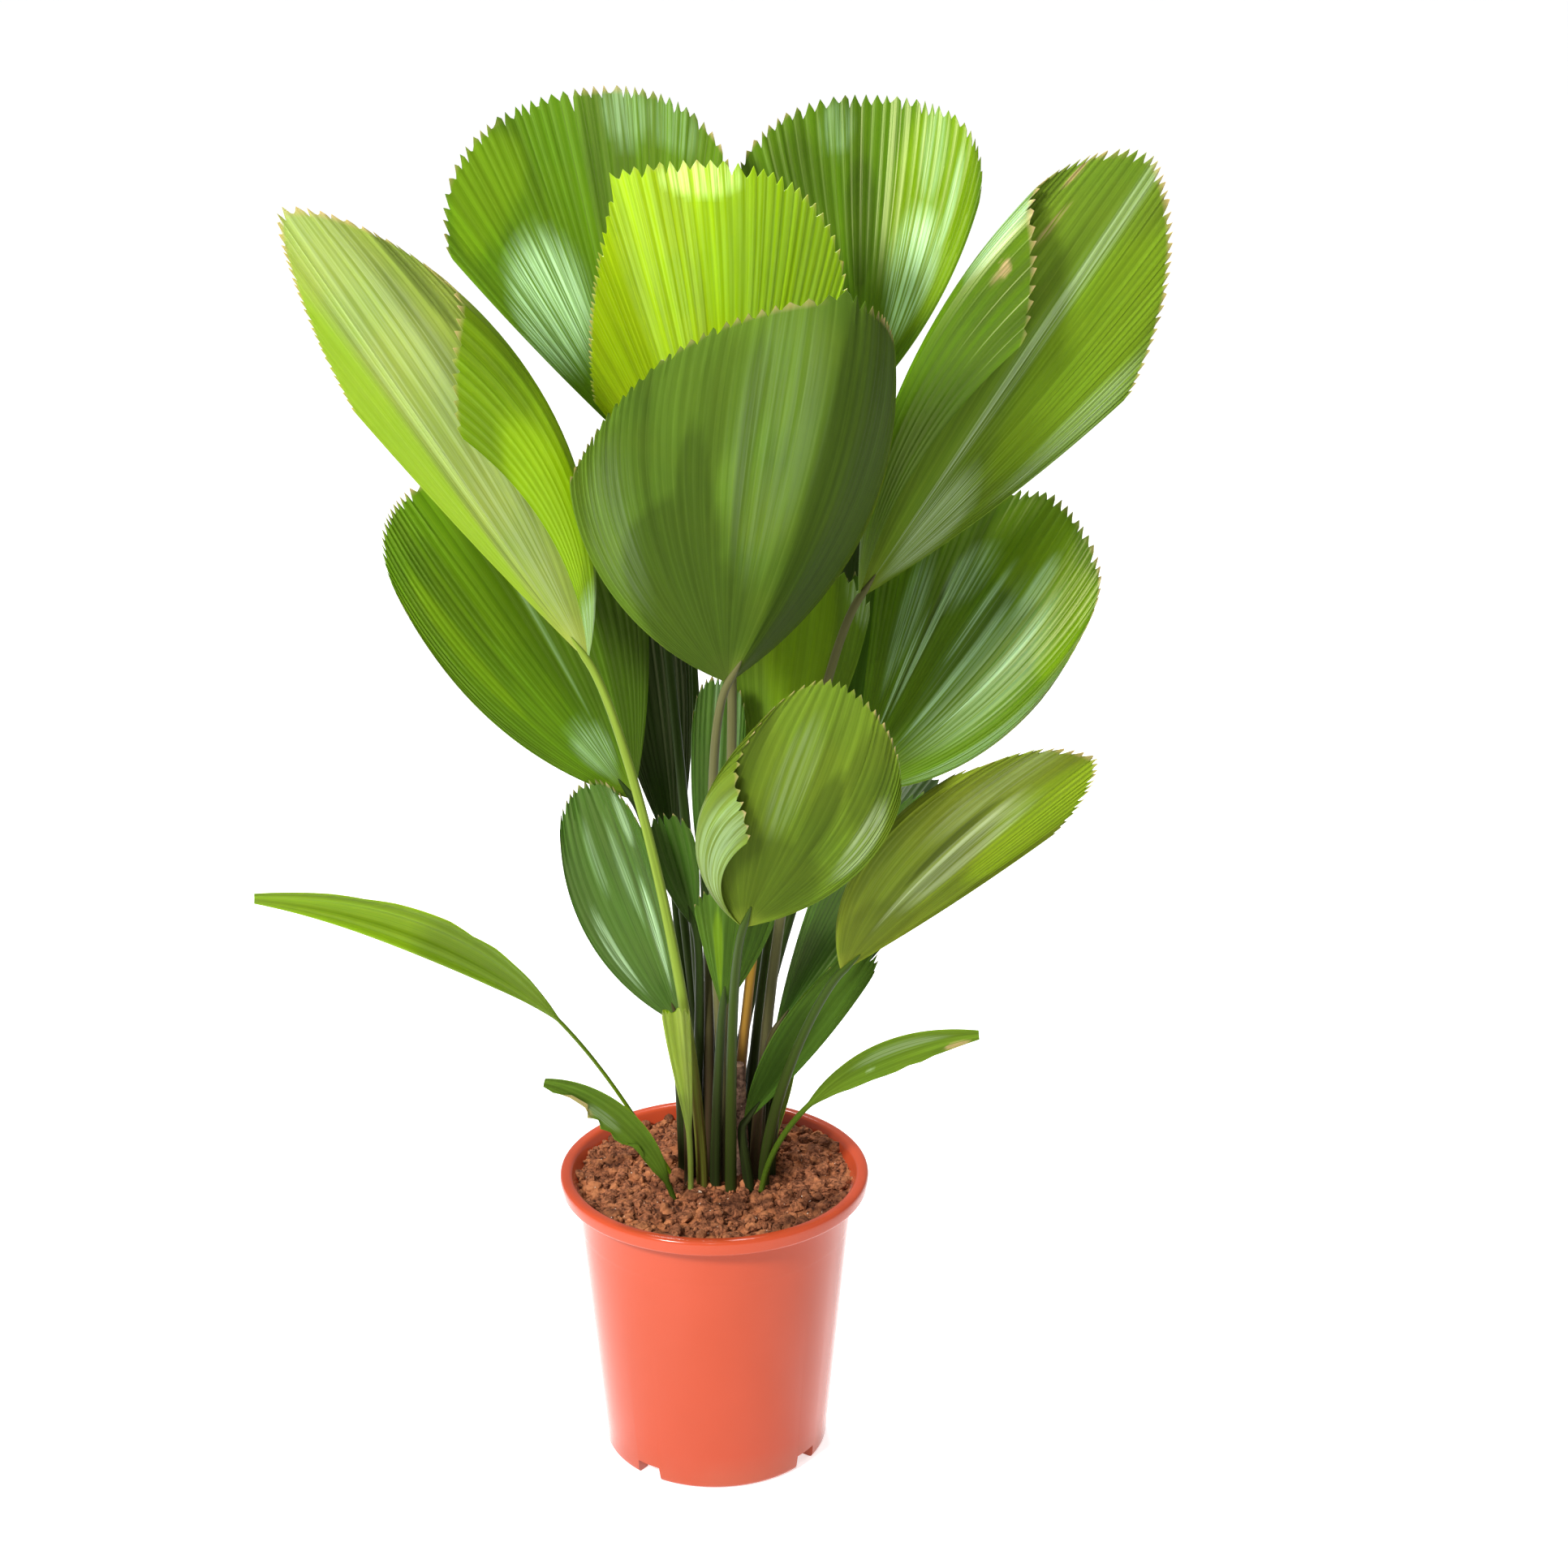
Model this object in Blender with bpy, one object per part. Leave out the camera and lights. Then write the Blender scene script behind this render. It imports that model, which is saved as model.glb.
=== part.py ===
"""A licuala palm in a nursery pot: pleated fan leaves on thin stalks, each leaf a thin solid.

Metres, +Z up. The origin is on the pot's axis, on the ground, and -Y is the plant's front.
"""
import math
import random
from dataclasses import dataclass

import bmesh
import bpy
import numpy as np

# Pot
POT_HEIGHT = 0.235
RIM_RADIUS = 0.120
RIM_HEIGHT = 0.0125
MOUTH_RADIUS = 0.111
INNER_STEP = 0.002           # within the rim the wall steps out to the mouth over this height
SHOULDER_RADIUS = 0.1075
FOOT_RADIUS = 0.087
WALL = 0.003
STEP_HEIGHT = 0.190          # a faint ledge runs round the wall here
POT_SIDES = 40
FLOOR = 0.007                # thickness of the floor at its middle
HOLLOW = 0.004               # how far the floor's ring stands above the ground
FOOT_RING = (0.076, 0.084)   # radii between which the ring round the underside stands on the ground
HUB = (0.030, 0.033)         # radii of the flat middle of the underside, and of the end of its slope
ROUND = 0.0025               # how far an edge of the rim is cut back
NOTCH_HEIGHT = 0.012
NOTCH_WIDTH = 0.024
NOTCH_DEPTH = 0.030
NOTCH_ANGLE = math.radians(54)

# Soil
SOIL_TOP = 0.226
SOIL_SIDES = 32
CLOD = 0.0035                # height of its clods
LEVEL = 0.016                # no clod rises this near to a stalk
SOIL_RADII = (0.103, 0.088, 0.076, 0.063, 0.050, 0.037, 0.024, 0.011)
CLEAR = 0.0003               # gap between touching pieces

# Leaves
TEETH = 14                   # pleats across a full leaf
ROWS = ((0.0, 4), (0.18, 2), (0.42, 1), (0.72, 1), (1.0, 1))   # share of the length, rib lines skipped
PLEAT = 0.0022               # half height of a pleat
NOTCH = 0.045                # depth of the cut between two teeth, over the leaf's length
HEEL = 0.0045                # radius of the blade's inner edge, at the stalk
THINNESS = 200               # length over half the thickness
WALK = 60                    # steps from the middle rib to the last one
ALONG = (0.0, 0.15, 0.3, 0.45, 0.6, 0.75, 0.9, 1.0)

# Stalks
STALK_RINGS = 8
STALK_SIDES = 6
STALK_FOOT = 0.0046
STALK_TOP = 0.0030
STALK_POINT = 0.0006         # the stalk is drawn to this radius where the blade sits on it
STALK_END = 0.0036           # how far it reaches beyond the point where the ribs would meet
SHORT_END = 0.0020           # the same where a fold crowds the blade's heel
POINT_LENGTH = 0.012
RISE, ARRIVE = 0.3, 0.12     # how far a stalk keeps its first and last way, over its length

GREEN, DEEP, LIME = "leaf_green", "leaf_deep", "leaf_lime"
COLOURS = {                  # base colour, roughness
    "pot": ((0.83, 0.156, 0.091), 0.32),
    "soil": ((0.12, 0.045, 0.022), 0.95),
    "stem": ((0.10, 0.045, 0.022), 0.90),
    "stalk_green": ((0.10, 0.17, 0.030), 0.50),
    GREEN: ((0.13, 0.27, 0.028), 0.42),
    DEEP: ((0.045, 0.15, 0.022), 0.38),
    LIME: ((0.40, 0.60, 0.030), 0.45),
}


@dataclass
class Leaf:
    """A fan leaf. Left and right are those of someone who looks at the side it shows."""
    name: str
    colour: str
    foot: tuple                  # where its stalk leaves the soil
    heel: tuple                  # where the ribs meet
    tip: tuple                   # end of the middle rib
    turn: float = 0.0            # degrees that its face turns about the middle rib, toward its right
    spread: tuple = (26, 26)     # degrees from the middle rib to the ends of the last ribs
    side: tuple = (0.8, 0.8)     # length of the last ribs over that of the middle one
    power: tuple = (3.0, 3.0)    # how late the ribs shorten
    curl: tuple = (6, 6)         # degrees that the last ribs start outside, and end inside, their chord
    sway: float = 0.0            # the same for the whole leaf, toward its right
    bends: tuple = ()            # folds along a rib: (rib from -1 to 1, degrees toward the front)
    soft: float = 0.2            # half width of a fold, in ribs
    ripple: float = 0.0          # height of three waves across the margin, over the length
    teeth: int = TEETH
    stalk_end: float = STALK_END


@dataclass
class SmallLeaf:
    """A narrow leaf of a young shoot: its stalk widens into the blade."""
    name: str
    colour: str
    foot: tuple
    tip: tuple
    rise: tuple                  # the way it leaves the soil
    reach: tuple                 # the way it arrives at its tip
    heel: float                  # share of its curve where the blade begins
    width: float
    radius: float = 0.0022
    fold: float = 0.25
    full: float = 0.95           # share of the whole spindle that its blade runs through


LEAVES = (
    Leaf("back_left_top", GREEN, (-0.006, 0.024), (-0.052, 0.100, 0.779), (-0.103, 0.150, 1.041),
         spread=(33, 31), side=(0.76, 0.80), curl=(3, 5), bends=((0, 30),)),
    Leaf("back_right_top", GREEN, (0.026, 0.030), (0.112, 0.120, 0.811), (0.125, 0.180, 1.032),
         spread=(33, 29), side=(0.84, 0.80), power=(3.0, 4.5), curl=(8, 16), bends=((0.1, 35),)),
    Leaf("young_centre", LIME, (0.005, 0.014), (0.010, -0.020, 0.735), (-0.066, -0.035, 1.018),
         spread=(33, 56), side=(0.50, 0.50), power=(0.6, 2.8), curl=(2, 8),
         bends=((-0.08, -50), (0.32, -28)), stalk_end=SHORT_END),
    Leaf("front_top", GREEN, (0.008, -0.001), (0.015, -0.110, 0.674), (0.096, -0.200, 0.979),
         spread=(54, 31), side=(0.60, 0.68), power=(0.8, 1.2), curl=(50, 33), sway=11,
         bends=((0.06, -70),)),
    Leaf("left_high", LIME, (-0.009, -0.012), (-0.085, -0.076, 0.678), (-0.285, -0.096, 1.007),
         spread=(15, 25), side=(0.62, 0.52), power=(1.0, 1.3), curl=(4, 37),
         bends=((-0.05, -50), (0.57, 160)), soft=0.12, stalk_end=SHORT_END),
    Leaf("left_middle", GREEN, (-0.024, 0.011), (-0.058, 0.000, 0.542), (-0.220, 0.030, 0.773),
         turn=30, spread=(15, 36), side=(0.78, 0.75), curl=(23, 12), bends=((0.1, 20),)),
    Leaf("right_high", GREEN, (0.034, 0.019), (0.108, -0.020, 0.706), (0.309, -0.020, 1.026),
         turn=15, spread=(21, 21.5), side=(0.62, 0.64), power=(2.0, 1.25), curl=(32, 7),
         bends=((-0.56, 155),), stalk_end=SHORT_END),
    Leaf("right_middle", GREEN, (0.043, 0.008), (0.106, 0.050, 0.529), (0.257, 0.090, 0.751),
         turn=-30, spread=(28, 31), side=(0.66, 0.66), power=(1.3, 2.8), curl=(0, 27), bends=((0, 30),),
         ripple=0.02),
    Leaf("front_low", GREEN, (0.013, -0.018), (0.025, -0.130, 0.496), (0.088, -0.220, 0.716),
         spread=(23, 25), side=(0.42, 0.73), power=(1.8, 1.7), curl=(49, 31), bends=((-0.70, 150),),
         soft=0.15, stalk_end=SHORT_END),
    Leaf("front_right_low", LIME, (0.038, -0.010), (0.096, -0.086, 0.441), (0.271, -0.147, 0.633),
         turn=25, spread=(22, 10), side=(0.740, 0.725), power=(3.2, 1.4), curl=(32, 8), sway=-4,
         bends=((-0.78, -80),)),
    Leaf("left_low", DEEP, (-0.019, 0.001), (-0.025, -0.010, 0.362), (-0.092, -0.012, 0.562),
         spread=(12, 12), side=(0.84, 0.70), curl=(30, 10), bends=((0.1, 30),)),
    Leaf("inner_left", DEEP, (-0.0035, 0.008), (-0.003, 0.024, 0.436), (0.006, 0.030, 0.630),
         spread=(7, 8), curl=(8, 8)),
    Leaf("inner_left_low", DEEP, (-0.0145, 0.0165), (-0.013, 0.010, 0.432), (-0.038, 0.018, 0.524),
         spread=(13, 15), curl=(12, 12), bends=((0, 30),), teeth=8),
    Leaf("inner_low", GREEN, (0.001, -0.011), (0.008, -0.050, 0.393), (0.018, -0.070, 0.500),
         spread=(20, 24), curl=(4, 10), bends=((0, -40),), teeth=10),
    Leaf("inner_centre", GREEN, (0.016, 0.016), (0.044, 0.040, 0.516), (0.065, 0.060, 0.710),
         spread=(22, 21), side=(0.85, 0.90), curl=(14, 18), bends=((0, -40),)),
    Leaf("inner_right", DEEP, (0.044, 0.031), (0.101, 0.120, 0.511), (0.138, 0.160, 0.671),
         spread=(16, 10), side=(0.85, 0.80), curl=(10, 6), bends=((0, -40),), teeth=10),
    Leaf("right_low", DEEP, (0.031, 0.003), (0.047, -0.012, 0.358), (0.166, 0.030, 0.537),
         spread=(18, 12), side=(0.68, 0.70), power=(1.2, 3.0), curl=(6, 20), bends=((0, 30),)),
    Leaf("right_lowest", DEEP, (0.027, -0.015), (0.023, -0.022, 0.284), (0.121, -0.010, 0.428),
         spread=(9, 5), side=(0.80, 0.90), curl=(22, 8), bends=((0, 40),), teeth=10),
    Leaf("back_left", GREEN, (-0.019, 0.026), (-0.058, 0.150, 0.541), (-0.205, 0.280, 0.666),
         turn=-40, spread=(30, 32), bends=((0, 30),), teeth=10),
    Leaf("back_right", GREEN, (0.021, 0.046), (0.120, 0.160, 0.537), (0.257, 0.290, 0.636),
         turn=40, spread=(30, 28), bends=((0, 30),), teeth=10),
    Leaf("back_centre", GREEN, (0.010, 0.034), (0.101, 0.185, 0.596), (0.139, 0.260, 0.769),
         spread=(14, 14), curl=(8, 8), bends=((0, 30),), teeth=10),
    Leaf("back_high", GREEN, (-0.001, 0.047), (-0.024, 0.230, 0.652), (-0.047, 0.350, 0.826),
         turn=-20, spread=(20, 30), bends=((0, 30),), teeth=10),
    Leaf("back_left_low", DEEP, (-0.008, 0.036), (-0.029, 0.072, 0.463), (-0.056, 0.102, 0.670),
         spread=(12, 12), curl=(8, 8), bends=((0, 30),), teeth=10),
    Leaf("back_right_low", DEEP, (0.036, 0.054), (0.107, 0.132, 0.429), (0.175, 0.272, 0.471),
         turn=20, spread=(28, 28), bends=((0, 30),), teeth=10),
)

SMALL_LEAVES = (
    SmallLeaf("far_left", LIME, (-0.032, 0.008), (-0.336, -0.050, 0.484),
              rise=(-0.060, 0, 0.105), reach=(-0.196, 0, 0.010), heel=0.44, width=0.036, radius=0.0016),
    SmallLeaf("near_left", GREEN, (-0.029, -0.039), (-0.125, -0.070, 0.343),
              rise=(-0.006, 0, 0.035), reach=(-0.050, -0.005, 0.012), heel=0.18, width=0.027),
    SmallLeaf("upright", LIME, (-0.018, -0.024), (-0.027, -0.040, 0.385),
              rise=(0.002, 0, 0.060), reach=(-0.004, 0, 0.050), heel=0.34, width=0.023, full=0.36),
    SmallLeaf("far_right", GREEN, (0.036, -0.022), (0.203, 0.000, 0.349),
              rise=(0.008, 0, 0.075), reach=(0.085, 0, 0.008), heel=0.40, width=0.028),
    SmallLeaf("yellow", LIME, (0.044, 0.019), (0.062, 0.030, 0.317),
              rise=(0.002, 0, 0.050), reach=(0.010, 0, 0.040), heel=0.20, width=0.011),
)

# The one short stem that shows: a fibrous stub among the stalks
STEM_FOOT = (0.0195, 0.002)
STEM_TOP = (0.0185, 0.004, 0.322)
STEM_RADII = (0.0065, 0.0072, 0.0058, 0.0050)
STEM_SIDES = 8


def unit(vector):
    vector = np.asarray(vector, float)
    return vector / np.linalg.norm(vector)


def turned(a, b, degrees):
    """The square pair a, b turned by an angle from a toward b."""
    c, s = math.cos(math.radians(degrees)), math.sin(math.radians(degrees))
    return a * c + b * s, b * c - a * s


def front_of(along):
    """The direction nearest the plant's front that is square to a line."""
    front = np.array((0.0, -1.0, 0.0))
    return unit(front - along * (front @ along))


def length_of(leaf):
    return float(np.linalg.norm(np.subtract(leaf.tip, leaf.heel)))


def ribs_at(leaf, share):
    """Directions and face normals of all ribs, left to right, at one share of their length.

    The walk starts on the middle rib and steps sideways: a spread step fans the next rib out
    within the leaf's face, and a fold turns the face itself about that rib.
    """
    out = 1 - 2 * share
    middle = unit(np.subtract(leaf.tip, leaf.heel))
    normal = front_of(middle)
    across = np.cross(middle, normal)
    normal, across = turned(normal, across, leaf.turn)
    middle, across = turned(middle, across, leaf.sway * out)
    halves = []
    for way in (-1, 1):
        right = way > 0
        rib, side, face = middle, across * way, normal
        rows = [(rib, face)]
        for step in range(WALK):
            s = (step + 0.5) / WALK
            curl = leaf.curl[right] * out * 2 * (1 - s)
            rib, side = turned(rib, side, (leaf.spread[right] + curl) / WALK)
            fold = 0.0
            for place, degrees in leaf.bends:
                off = abs(s * way - place) / leaf.soft
                if off < 1:
                    fold += degrees * (1 + math.cos(math.pi * off)) / 2 / leaf.soft / WALK
            side, face = turned(side, face, fold)
            rows.append((rib, face))
        halves.append(rows)
    rows = halves[0][:0:-1] + halves[1]
    return np.array([r[0] for r in rows]), np.array([r[1] for r in rows])


def blend(table, s, share):
    """Directions read from the ribs' table at rib s (-1 to 1) and at a share of the length."""
    column = (np.asarray(s) + 1) / 2 * (table.shape[1] - 1)
    row = np.interp(share, ALONG, np.arange(len(ALONG)))
    c = np.clip(column.astype(int), 0, table.shape[1] - 2)
    r = np.clip(row.astype(int), 0, table.shape[0] - 2)
    u, v = (column - c)[..., None], (row - r)[..., None]
    near = table[r, c] * (1 - u) + table[r, c + 1] * u
    far = table[r + 1, c] * (1 - u) + table[r + 1, c + 1] * u
    both = near * (1 - v) + far * v
    return both / np.linalg.norm(both, axis=-1, keepdims=True)


def blade_points(leaf, tables, ribs, share, steps=24):
    """Points and normals of the leaf's middle surface across the given ribs, at one share."""
    directions, normals = tables
    shares = np.linspace(0, 1, steps + 1)
    s_grid, t_grid = np.meshgrid(ribs, shares, indexing="ij")
    ways = blend(directions, s_grid, t_grid)
    path = np.zeros_like(ways)
    path[:, 1:] = np.cumsum((ways[:, 1:] + ways[:, :-1]) / 2 / steps, axis=1)
    reached = np.array([[np.interp(share, shares, line[:, k]) for k in range(3)] for line in path])
    length = length_of(leaf)
    side = np.where(ribs < 0, leaf.side[0], leaf.side[1])
    power = np.where(ribs < 0, leaf.power[0], leaf.power[1])
    rib_lengths = length * (1 - (1 - side) * np.abs(ribs) ** power)
    faces = blend(normals, ribs, np.full(len(ribs), share))
    wave = leaf.ripple * length * share ** 2 * np.sin(3 * math.pi * ribs)
    return reached * rib_lengths[:, None] + np.array(leaf.heel) + faces * wave[:, None], faces


def stitch(inner, outer):
    """Faces between two rows of vertices; the outer row may be twice as fine."""
    if len(inner) == len(outer):
        return [(inner[i], inner[i + 1], outer[i + 1], outer[i]) for i in range(len(inner) - 1)]
    faces = []
    for i in range(len(inner) - 1):
        a, b = inner[i], inner[i + 1]
        c, d, e = outer[2 * i:2 * i + 3]
        faces += [(a, d, c), (a, b, d), (b, e, d)]
    return faces


def blade_mesh(leaf):
    """A pleated fan with a toothed margin, thinner at its heel, as one closed thin solid."""
    length = length_of(leaf)
    both = [ribs_at(leaf, share) for share in ALONG]
    tables = np.array([b[0] for b in both]), np.array([b[1] for b in both])
    lines = np.arange(2 * leaf.teeth + 1)
    valley = lines % 2 == 0
    heel = HEEL / length
    front_rows, back_rows = [], []
    mesh = bmesh.new()
    for share, skip in ROWS:
        kept = lines[::skip]
        ribs = kept / leaf.teeth - 1.0
        points, faces = blade_points(leaf, tables, ribs, heel + (1 - heel) * share)
        if share == 1.0:
            cut, _ = blade_points(leaf, tables, ribs, 1 - NOTCH)
            points = np.where(valley[:, None], cut, points)
        if skip == 1:
            lift = np.where(valley, -PLEAT, PLEAT) * min(1, share * 1.6)
            points = points + faces * lift[:, None]
        half = max(length, 0.2) / THINNESS * min(1, 0.35 + share * 2)
        front_rows.append([mesh.verts.new(p) for p in points + faces * half])
        back_rows.append([mesh.verts.new(p) for p in points - faces * half])
    for rows, flip in ((front_rows, False), (back_rows, True)):
        for inner, outer in zip(rows, rows[1:]):
            for face in stitch(inner, outer):
                mesh.faces.new(face[::-1] if flip else face)
    for i, way in ((0, 1), (-1, -1)):
        for row in range(len(ROWS) - 1):
            edge = (front_rows[row][i], front_rows[row + 1][i], back_rows[row + 1][i], back_rows[row][i])
            mesh.faces.new(edge[::way])
    for row, way in ((0, -1), (-1, 1)):
        front, back = front_rows[row], back_rows[row]
        for k in range(len(front) - 1):
            mesh.faces.new((front[k], front[k + 1], back[k + 1], back[k])[::way])
    return mesh


def curve(start, start_handle, end_handle, end, shares):
    """Points and directions on a cubic curve."""
    t = np.asarray(shares, float)[:, None]
    points = (start * (1 - t) ** 3 + start_handle * 3 * t * (1 - t) ** 2
              + end_handle * 3 * t * t * (1 - t) + end * t ** 3)
    ways = ((start_handle - start) * (1 - t) ** 2 + (end_handle - start_handle) * 2 * t * (1 - t)
            + (end - end_handle) * t * t)
    return points, ways / np.linalg.norm(ways, axis=1, keepdims=True)


def loft(rings):
    """A closed solid through rings of equally many points, with a flat face on each end."""
    mesh = bmesh.new()
    rows = [[mesh.verts.new(p) for p in ring] for ring in rings]
    count = len(rows[0])
    for low, high in zip(rows, rows[1:]):
        for k in range(count):
            mesh.faces.new((low[k], low[(k + 1) % count], high[(k + 1) % count], high[k]))
    mesh.faces.new(rows[0][::-1])
    mesh.faces.new(rows[-1])
    bmesh.ops.recalc_face_normals(mesh, faces=mesh.faces)
    return mesh


def tube(points, ways, radii, sides):
    """Rings round a line, carried along it without twist."""
    side = unit(np.cross(ways[0], (0, 1, 0.01)))
    rings = []
    for point, way, radius in zip(points, ways, radii):
        side = unit(side - way * (side @ way))
        other = np.cross(way, side)
        angles = [2 * math.pi * k / sides for k in range(sides)]
        rings.append([point + radius * (math.cos(a) * side + math.sin(a) * other) for a in angles])
    return loft(rings)


def stalk_mesh(leaf):
    """A tapering stalk from the soil to just short of the blade's heel, which it points into."""
    way = ribs_at(leaf, 0.0)[0][WALK]
    foot = np.array((*leaf.foot, SOIL_TOP + CLEAR))
    top = np.array(leaf.heel) + way * leaf.stalk_end
    far = np.linalg.norm(top - foot)
    shares = np.append(np.linspace(0, 1 - POINT_LENGTH / far, STALK_RINGS), 1)
    points, ways = curve(foot, foot + np.array((0, 0, RISE * far)), top - way * ARRIVE * far, top, shares)
    radii = STALK_FOOT + (STALK_TOP - STALK_FOOT) * shares
    radii[-1] = STALK_POINT
    return tube(points, ways, radii, STALK_SIDES)


def small_leaf_mesh(leaf, stalk_rings=5, blade_rings=9):
    """A round stalk that flattens into a narrow blade, folded a little along its middle."""
    foot = np.array((*leaf.foot, SOIL_TOP + CLEAR))
    tip = np.array(leaf.tip)
    shares = np.concatenate((np.linspace(0, leaf.heel, stalk_rings),
                             np.linspace(leaf.heel, 1, blade_rings + 1)[1:]))
    points, ways = curve(foot, foot + np.array(leaf.rise), tip - np.array(leaf.reach), tip, shares)
    ways[0] = (0, 0, 1)
    rings = []
    for point, way, share in zip(points, ways, shares):
        blade = max(0.0, (share - leaf.heel) / (1 - leaf.heel))
        bulge = math.sin(math.pi * leaf.full * blade)
        half = leaf.radius + (leaf.width / 2 - leaf.radius) * bulge
        thick = max(0.0011, leaf.radius * (1 - 2 * blade))
        normal = front_of(way)
        across = np.cross(way, normal)
        ring = []
        for x, y in ((-1, 0), (-0.5, -1), (0.5, -1), (1, 0), (0.5, 1), (-0.5, 1)):
            lift = leaf.fold * half * abs(x) * min(1, blade * 4)
            ring.append(point + across * x * half + normal * (y * thick + lift))
        rings.append(ring)
    return loft(rings)


def circle(radius, height, sides):
    angles = [2 * math.pi * k / sides for k in range(sides)]
    return [(radius * math.cos(angle), radius * math.sin(angle), height) for angle in angles]


def outer_radius(height):
    """The radius of the pot's plain wall below its rim."""
    return FOOT_RADIUS + (SHOULDER_RADIUS - FOOT_RADIUS) * height / (POT_HEIGHT - RIM_HEIGHT)


def inner_radius(height):
    """The same inside, which steps out to the mouth within the rim."""
    lip = POT_HEIGHT - RIM_HEIGHT
    step = min(1.0, max(0.0, height - lip) / INNER_STEP)
    return outer_radius(min(height, lip)) - WALL + step * (MOUTH_RADIUS - SHOULDER_RADIUS + WALL)


def pot_mesh():
    """Rings from the middle of the underside out, up the wall, over the rim and down inside."""
    lip = POT_HEIGHT - RIM_HEIGHT
    ledge = outer_radius(STEP_HEIGHT)
    profile = (
        (HUB[0], 0.0), (HUB[1], HOLLOW), (FOOT_RING[0] - 0.002, HOLLOW), (FOOT_RING[0], 0.0),
        (FOOT_RING[1], 0.0), (FOOT_RADIUS, 0.004),
        (ledge - 0.0006, STEP_HEIGHT - 0.001), (ledge + 0.0004, STEP_HEIGHT + 0.001),
        (SHOULDER_RADIUS, lip - 0.001), (RIM_RADIUS - ROUND, lip),
        (RIM_RADIUS, lip + ROUND), (RIM_RADIUS, POT_HEIGHT - 0.004),
        (RIM_RADIUS - ROUND, POT_HEIGHT), (MOUTH_RADIUS + ROUND, POT_HEIGHT),
        (MOUTH_RADIUS, POT_HEIGHT - 0.002), (MOUTH_RADIUS, lip + INNER_STEP), (inner_radius(lip), lip),
        (inner_radius(FLOOR) - 0.002, FLOOR),
    )
    return loft([circle(radius, height, POT_SIDES) for radius, height in profile])


def notch_mesh():
    """Four low gates in the pot's foot."""
    mesh = bmesh.new()
    for k in range(4):
        angle = NOTCH_ANGLE + k * math.pi / 2 - math.pi / 2
        block = bmesh.ops.create_cube(mesh, size=1.0)["verts"]
        bmesh.ops.scale(mesh, vec=(NOTCH_DEPTH, NOTCH_WIDTH, 2 * NOTCH_HEIGHT), verts=block)
        bmesh.ops.translate(mesh, vec=(FOOT_RADIUS, 0, 0), verts=block)
        turn = ((math.cos(angle), -math.sin(angle), 0), (math.sin(angle), math.cos(angle), 0), (0, 0, 1))
        for vert in block:
            vert.co = [sum(turn[i][j] * vert.co[j] for j in range(3)) for i in range(3)]
    return mesh


def soil_mesh():
    """The filling: level where a stalk stands, cloddy between."""
    rng = random.Random(7)
    feet = [leaf.foot for leaf in LEAVES + SMALL_LEAVES] + [STEM_FOOT]
    bottom, lip = FLOOR + CLEAR, POT_HEIGHT - RIM_HEIGHT
    ledge = lip + INNER_STEP + 2 * CLEAR
    rings = [circle(inner_radius(bottom) - 0.003, bottom, SOIL_SIDES),
             circle(inner_radius(lip) - 2 * CLEAR, lip, SOIL_SIDES),
             circle(inner_radius(lip) - 2 * CLEAR, lip + 2 * CLEAR, SOIL_SIDES),
             circle(MOUTH_RADIUS - 2 * CLEAR, ledge, SOIL_SIDES),
             circle(MOUTH_RADIUS - 2 * CLEAR, SOIL_TOP, SOIL_SIDES)]
    for radius in SOIL_RADII:
        ring = []
        for x, y, z in circle(radius, SOIL_TOP, SOIL_SIDES):
            clear = min(math.dist((x, y), foot) for foot in feet)
            rough = min(1.0, max(0.0, clear / LEVEL - 1))
            ring.append((x, y, z + CLOD * rough * rng.uniform(-1.0, 0.6)))
        rings.append(ring)
    return loft(rings)


def stem_mesh():
    rng = random.Random(3)
    foot = np.array((*STEM_FOOT, SOIL_TOP + CLEAR))
    shares = np.linspace(0, 1, len(STEM_RADII))
    points = [foot + (np.array(STEM_TOP) - foot) * share for share in shares]
    ways = [np.array((0.0, 0.0, 1.0))] * len(points)
    mesh = tube(points, ways, STEM_RADII, STEM_SIDES)
    for vert in mesh.verts:
        if vert.co.z > SOIL_TOP + 0.001:
            vert.co.x += rng.uniform(-0.0006, 0.0006)
            vert.co.y += rng.uniform(-0.0006, 0.0006)
    return mesh


def material(name):
    found = bpy.data.materials.get(name)
    if found:
        return found
    made = bpy.data.materials.new(name)
    made.use_nodes = True
    colour, roughness = COLOURS[name]
    shader = made.node_tree.nodes["Principled BSDF"]
    shader.inputs["Base Color"].default_value = (*colour, 1.0)
    shader.inputs["Roughness"].default_value = roughness
    shader.inputs["Metallic"].default_value = 0.0
    return made


def place(name, mesh, colour=None):
    """A new object from a finished mesh, which it uses up."""
    data = bpy.data.meshes.new(name)
    mesh.to_mesh(data)
    mesh.free()
    data.shade_smooth()
    data.set_sharp_from_angle(angle=math.radians(30))
    piece = bpy.data.objects.new(name, data)
    bpy.context.scene.collection.objects.link(piece)
    if colour:
        data.materials.append(material(colour))
    return piece


def main():
    for old in list(bpy.data.objects):
        bpy.data.objects.remove(old, do_unlink=True)
    pot = place("pot", pot_mesh(), "pot")
    notches = place("pot_notches", notch_mesh())
    notches.display_type = "WIRE"
    notches.hide_render = True
    cut = pot.modifiers.new("notches", "BOOLEAN")
    cut.operation = "DIFFERENCE"
    cut.object = notches
    place("soil", soil_mesh(), "soil")
    place("stem", stem_mesh(), "stem")
    for leaf in LEAVES:
        place("stalk_" + leaf.name, stalk_mesh(leaf), "stalk_green")
        place("leaf_" + leaf.name, blade_mesh(leaf), leaf.colour)
    for leaf in SMALL_LEAVES:
        place("shoot_" + leaf.name, small_leaf_mesh(leaf), leaf.colour)


main()
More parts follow.
